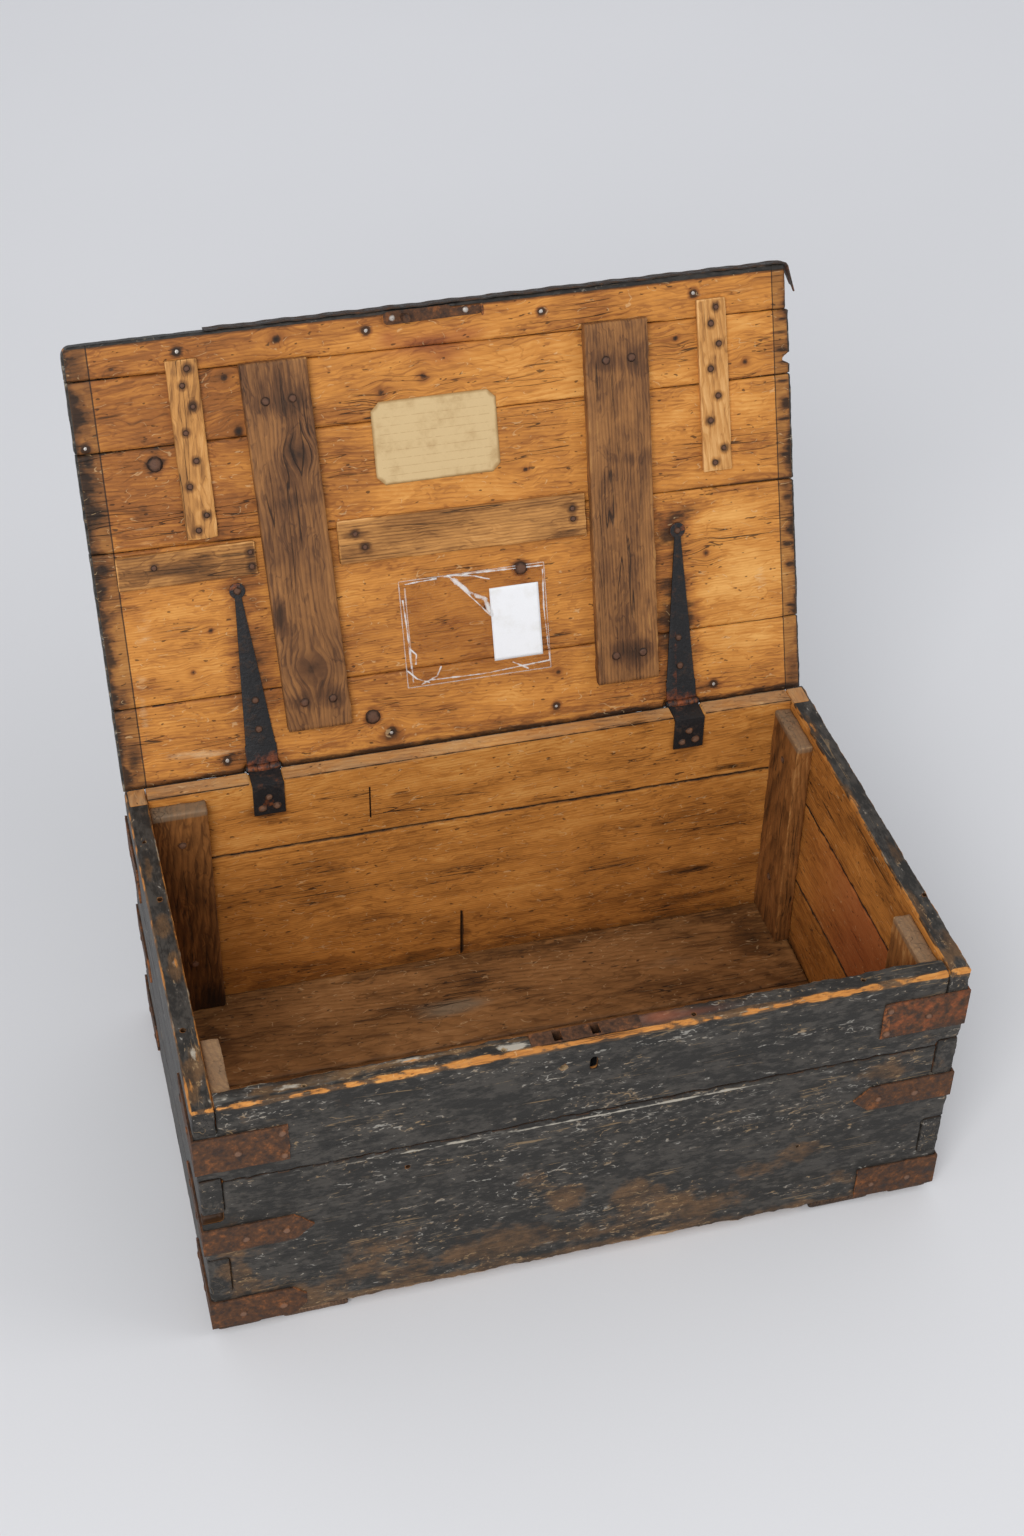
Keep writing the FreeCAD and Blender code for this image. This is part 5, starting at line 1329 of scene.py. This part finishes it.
# %% Paint
def slate_colour(f, b):
    """The colour of the paint. How far it is gone and its longer scratches are kept in b."""
    streak = noise(f, stretch(f, b.tree, 6, 70, 70, (4, 4, 4)), 1, 5, 0.7)
    cloud = noise(f, stretch(f, b.tree, 17, 20, 20, (5, 5, 1)), 1, 5, 0.62)
    cluster = noise(f, stretch(f, b.tree, 7, 17, 17, (6, 2, 8)), 1, 3)
    patch = noise(f, stretch(f, b.tree, 19, 40, 40, (1, 4, 2)), 1, 8, 0.78)
    b.gone = step(f, b.rubbed * 0.9 + (streak - 0.5) * 0.9 + (b.breakup - 0.5) * 1.1, 0.64, 0.80)
    edge = 1 - step(f, b.arris + (b.breakup - 0.5) * 8, 0.2, 1.6)
    thin = step(f, b.rubbed * 1.1 + (cloud - 0.5) * 1.7 + (b.grit - 0.5) * 0.5, 0.24, 0.56)
    b.rub = lines(f, noise(f, stretch(f, b.tree, 26, 48, 48, (9, 1, 5)), 1, 2, 0.6), 0.016) * step(
        f, b.grit + b.scuff * 0.08 + cluster * 0.45, 0.79, 0.86)
    b.long = lines(f, noise(f, stretch(f, b.tree, 3, 62, 62, (2, 8, 5)), 1, 1), 0.012)
    b.long = b.long * step(f, b.breakup, 0.52, 0.62)
    fleck = step(f, noise(f, stretch(f, b.tree, 75, 210, 210, (8, 3, 1)), 1, 2, 0.6), 0.64, 0.69) * step(
        f, cluster + b.scuff * 0.35 + thin * 0.05, 0.54, 0.66)
    nick = lines(f, noise(f, stretch(f, b.tree, 44, 120, 120, (3, 9, 1)), 1, 1), 0.018) * step(
        f, b.grit * 0.7 + cluster * 0.4, 0.60, 0.66)
    haze = step(f, streak + (b.grit - 0.5) * 0.5 + b.scuff * 0.5, 0.80, 1.1)
    marks = most(f, most(f, b.rub * 0.5, b.long * 0.42), most(f, haze * 0.12, most(f, fleck * 0.55, nick * 0.45)))
    scuffed = step(f, b.scuff + (b.breakup - 0.5) * 1.3 + (b.grit - 0.5) * 0.5, 0.88, 1.1)
    brown = mix(f, step(f, patch, 0.35, 0.65), srgb("#3A2C1F"), srgb("#6E5032"))
    chalk = mix(f, step(f, b.breakup + thin * 0.2, 0.42, 0.60), srgb("#B5B0A6"), srgb("#A88A62"))
    slate = mix(f, step(f, patch * 0.65 + b.grit * 0.35, 0.45, 0.57), srgb("#252320"), srgb("#403C37"))
    slate = mix(f, thin * 0.8, slate, brown)
    slate = mix(f, marks, slate, chalk)
    slate = mix(f, scuffed * 0.75, slate, srgb("#BDB5A6"))
    slate = mix(f, edge * 0.75, slate, mix(f, step(f, b.grit, 0.4, 0.6), srgb("#8A6A45"), srgb("#B3A68F")))
    slate = mix(f, b.red * 0.8, slate, tint(f, srgb("#94563A"), 0.7 + b.grit * 0.6))
    # Soot darkens the paint; on the lid's front edge face this darkening is painted shade.
    slate = mix(f, b.soot * 0.55, slate, srgb("#1A1511"))
    return tint(f, slate, 0.74 + streak * 0.52)


print("paint ready")

# %% [markdown]
# ## The board recipe
# One recipe serves the lid, the walls and the floor. Where the points say that a face was painted, slate
# covers the pine, except where it is gone. The line that the walls drew on the lid is scored over all.

# %% The board recipe
MARK_NAMES = ("arris", "line", "soot", "rubbed", "paint", "grey", "scuff", "red", "tone")


def aged_board(name, tones, ring=3.2, grime=0.0):
    f = Finish(name)
    b = SimpleNamespace(**{mark: read(f, mark) for mark in MARK_NAMES})
    b.dark, b.height, b.tree, b.blotch = pine(f, ring)
    b.breakup = noise(f, stretch(f, b.tree, 16, 48, 48, (3, 1, 2)), 1, 5, 0.65)
    b.grit = noise(f, stretch(f, b.tree, 70, 160, 160, (1, 5, 2)), 1, 3, 0.6)
    bare, slate = bare_colour(f, b, tones, grime), slate_colour(f, b)
    cover = step(f, b.paint, 0.44, 0.56) * (1 - b.gone)
    scored = 1 - step(f, size_of(f, b.line + (b.breakup - 0.5) * 1.2), 0.5, 1.3)
    colour = mix(f, cover, mix(f, b.paint * (1 - b.weather) * 0.2, bare, srgb("#B97B3E")), slate)
    colour = mix(f, scored * 0.85, colour, srgb("#19120C"))
    height = (b.height - b.crack * 0.5 - b.speck * 0.25 + cover * 0.2 - b.scratch * 0.15
              - (b.rub + b.long) * cover * 0.12 + (b.grit - 0.5) * 0.2)
    return f.set(Base_Color=colour, Roughness=0.62 + (b.breakup - 0.5) * 0.25 - cover * 0.10,
                 Normal=relief(f, height, 1.4), Specular_IOR_Level=0.3)


looks = {
    "painted_wood": aged_board("painted_pine", ("#DDA258", "#C07E38", "#8A5522", "#452A14"), grime=0.04),
    "lid_wood": aged_board("lid_pine", AMBER),
    "floor_wood": aged_board("floor_pine", ("#BD9060", "#9A6C3E", "#6A4624", "#352212"), grime=0.12),
}
print("looks", list(looks))

# %% [markdown]
# ## Posts, battens, strips and skids
# These are rougher pieces with a stronger grain. The wide battens are nearly black in places from hands and
# damp, the posts are brown, and the skids have only ever touched the deck.

# %% The weathered recipe
def weathered(name, tones, grime=0.0):
    f = Finish(name)
    dark, height, tree, blotch = pine(f, 4.0, sway=0.010, bold=0.13)
    arris, soot, grey, tone = (read(f, mark) for mark in ("arris", "soot", "grey", "tone"))
    breakup = noise(f, stretch(f, tree, 14, 60, 60, (3, 1, 2)), 1, 5, 0.65)
    groove = noise(f, stretch(f, tree, 9, 190, 190, (5, 1, 0)), 1, 3, 0.65)
    crack = lines(f, noise(f, stretch(f, tree, 4, 80, 80, (0, 3, 0)), 1, 1), 0.014) * step(f, blotch, 0.46, 0.6)
    pale = 1 - step(f, arris + (breakup - 0.5) * 6, 0.3, 2.2)
    sooty = soot * 1.1 + grime + (breakup - 0.5) * 1.1 + (groove - 0.5) * 0.35
    stained = step(f, sooty, 0.40, 0.80)
    dark = dark + tone + (groove - 0.5) * 0.26 + stained * 0.22 - pale * 0.32
    weather = step(f, grey + (breakup - 0.5) * 0.6, 0.3, 1.0)
    colour = mix(f, weather * 0.6, wood_colour(f, dark, tones), srgb("#7B6C58"))
    colour = mix(f, most(f, crack * 0.85, step(f, sooty, 0.74, 1.02) * 0.65), colour, srgb("#241810"))
    height = height * 1.3 + (groove - 0.5) * 0.5 - crack * 0.6
    return f.set(Base_Color=colour, Roughness=0.66 + (breakup - 0.5) * 0.2,
                 Normal=relief(f, height), Specular_IOR_Level=0.3)


looks["post_wood"] = weathered("post_pine", ("#C09058", "#936030", "#5E3A1A", "#2B1A0E"), grime=0.02)
looks["batten_wood"] = weathered("batten_oak", ("#BA894B", "#926337", "#613F25", "#281A10"), grime=0.07)
looks["strip_wood"] = weathered("strip_pine", ("#DDAA6C", "#BE8648", "#80542A", "#3A2512"))
looks["skid_wood"] = weathered("skid_elm", ("#7E6046", "#5A4230", "#3A2A1E", "#1D1510"), grime=0.1)
print("looks", len(looks))

# %% [markdown]
# ## Iron
# The irons are rusted brown all over, the hinges are black and only red where they bend. Both are pitted.
# Rust grows in islands, so two sizes of noise are multiplied, and the pits are also a little darker.

# %% The iron recipe
def iron(name, tones, rusty, metal):
    """Tones are the iron's black, brown, orange and the tops of nail heads."""
    f = Finish(name)
    black, brown, orange, head = (srgb(tone) for tone in tones)
    where = f.node("ShaderNodeTexCoord", out=3)
    island = noise(f, where, 58, 6, 0.66)
    pit = noise(f, where, 210, 4, 0.6)
    fine = noise(f, where, 700, 2)
    rim, top, red = (read(f, mark) for mark in ("rim", "top", "red"))
    spread = step(f, island * 0.75 + pit * 0.35 + rusty, 0.42, 0.66)
    bright = step(f, island * 0.75 + pit * 0.35 + fine * 0.1 + rusty, 0.66, 0.86)
    worn_rim = step(f, rim + (pit - 0.5) * 1.6 + (island - 0.5) * 0.8, 0.7, 1.3)
    worn_top = step(f, top + (pit - 0.5) * 0.5, 0.5, 0.9)
    redder = step(f, red + (island - 0.5) * 1.6, 0.5, 1.0)
    colour = mix(f, spread, tint(f, black, 0.6 + fine * 0.8), tint(f, brown, 0.55 + pit * 0.9))
    colour = mix(f, bright * 0.8, colour, tint(f, orange, 0.7 + fine * 0.6))
    colour = mix(f, worn_rim * 0.7, colour, tint(f, orange, 0.9 + fine * 0.7))
    colour = mix(f, worn_top * 0.75, colour, tint(f, head, 0.7 + fine * 0.6))
    colour = mix(f, redder * 0.85, colour, tint(f, srgb("#86482A"), 0.6 + pit * 0.8))
    height = (pit - 0.5) * 0.5 + (island - 0.5) * 0.5 + spread * 0.15
    return f.set(Base_Color=colour, Metallic=(1 - spread) * metal, Roughness=0.46 + spread * 0.34 + (pit - 0.5) * 0.2,
                 Normal=relief(f, height, 1.2), Specular_IOR_Level=0.25)


looks["rusty_iron"] = iron("rusty_iron_look", ("#30221A", "#573A27", "#94592F", "#7C5D4A"), 0.03, 0.0)
looks["old_iron"] = iron("old_iron_look", ("#303031", "#3F2E22", "#7E4522", "#4A4340"), -0.12, 0.5)
looks["bright_steel"] = iron("bright_steel_look", ("#A79C92", "#7A6252", "#94674A", "#B9B4AE"), -0.12, 0.6)
looks["nail_iron"] = iron("nail_iron_look", ("#241A14", "#3F2A1D", "#6A3F25", "#6B4C3B"), 0.03, 0.2)
looks["edging"] = iron("edging_look", ("#2C2724", "#453225", "#6A4028", "#3A3734"), -0.02, 0.0)
print("iron looks done")

# %% [markdown]
# ## Paper, card and film
# The label is old paper, the card is new, and the pocket is clear film. Film is hardly there: only its glints
# and wrinkles show, so it is mostly transparent, and its creases and fold are painted white: painted glints and a
# painted highlight.

# %% Papers
def paper(name, clean, aged, amount):
    f = Finish(name)
    where = f.node("ShaderNodeTexCoord", out=3)
    blot = noise(f, where, 34, 5, 0.65)
    fibre = noise(f, where, 900, 2)
    edge, down = read(f, "edge"), read(f, "down")
    foxed = most(f, step(f, blot, 0.45, 0.8) * amount, step(f, edge + (blot - 0.5) * 0.8, 0.5, 1.0) * 0.8)
    row = f.node("ShaderNodeMath", {"operation": "FRACT"}, {0: down / 10.3})
    rule = step(f, row, 0.90, 0.94) * step(f, down, 9, 11)
    rule = rule * (1 - step(f, down, 92, 94)) * (1 - step(f, edge, 0.0, 0.1))
    colour = mix(f, foxed, srgb(clean), srgb(aged))
    colour = mix(f, rule * step(f, noise(f, where, 160, 2), 0.3, 0.6) * 0.45, colour, srgb(aged))
    return f.set(Base_Color=tint(f, colour, 0.94 + fibre * 0.12), Roughness=0.7 + fibre * 0.1,
                 Normal=relief(f, fibre * 0.08 + blot * 0.3))


def film(name):
    f = Finish(name)
    where = f.node("ShaderNodeTexCoord", out=3)
    fog, broken = noise(f, where, 24, 4), noise(f, where, 90, 3, 0.6)
    # The white of the creases and the fold is painted glint and highlight; the sealed rim's pale line is the film's
    # own.
    crease = step(f, read(f, "crease") + (broken - 0.5) * 1.4, 0.5, 1.2)
    seal = step(f, read(f, "seal") + (broken - 0.5) * 0.9, 0.4, 1.2)
    white = most(f, crease, seal)
    colour = mix(f, step(f, white, 0.0, 0.3), srgb("#8E4A1E"), srgb("#F4F4F2"))
    return f.set(Base_Color=colour, Roughness=0.10 + fog * 0.1,
                 Alpha=0.07 * (1 - read(f, "card")) + crease * 0.5 + seal * 0.2,
                 Normal=relief(f, fog * 0.8 + broken * 0.15))


looks["paper"] = paper("label_paper", "#CBAF80", "#99733F", 0.65)
looks["card"] = paper("card_white", "#ECEDEF", "#D5D2CB", 0.5)
looks["brass_film"] = film("clear_film")
print("looks", len(looks))

# %% [markdown]
# ## The floor's own finish
# The floor's colour carries painted light: it is painted lighter towards the far part, where less lamp light
# reaches it, and a little lighter on the right than on the left. A very faint tooth keeps it from looking like a
# blank.

# %% Matt paper
f = Finish("floor_matt")
where = f.node("ShaderNodeTexCoord", out=3)
apart = f.node("ShaderNodeSeparateXYZ", {}, {0: where}, out=1)
side = f.node("ShaderNodeSeparateXYZ", {}, {0: where}, out=0)
# Painted light: lighter far away and to the right, standing in for how the lamps light the floor.
level = 0.665 + step(f, apart, -1.0, 3.9) * 0.28 + step(f, side, -1.4, 0.8) * 0.04
level = level + (noise(f, where, 1.6, 2) - 0.5) * 0.02 + (noise(f, where, 400, 2) - 0.5) * 0.015
f.set(Base_Color=tint(f, (1.0, 1.0, 1.02), level), Roughness=0.9, Normal=relief(f, noise(f, where, 700, 2) * 0.05))
floor.data.materials.append(f.material)
print("floor finish", f.material.name)

# %% [markdown]
# ## Which finish goes where
# Every piece carries the name of its record slot, and `looks` has one finish for each slot. The nails that
# were driven into wood take a darker iron than the bright tacks. Pieces of the CAD that are still shown, such
# as pins and the bolt, keep their slots and only have the material in each slot swapped.

# %% Give every piece its finish
special = {"nails_batten_nails": "nail_iron", "nails_strap_rivets": "nail_iron", "nails_rose_nails": "nail_iron"}
for piece in (*worn.values(), *forged.values(), *papers.values()):
    piece.data.materials.clear()
    piece.data.materials.append(looks[special.get(piece.name, piece["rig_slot"])])
for name, node in nodes.items():
    if node.hide_render:
        continue
    for place in node.material_slots:
        old = place.material.name.split(".")[0] if place.material else ""
        if old in looks:
            place.material = looks[old]
        else:
            print("no look for", name, old)

# %% [markdown]
# ## The end
# The visible chest may be a little bigger than the CAD one, because it is worn and bent, but only by a few
# millimetres.
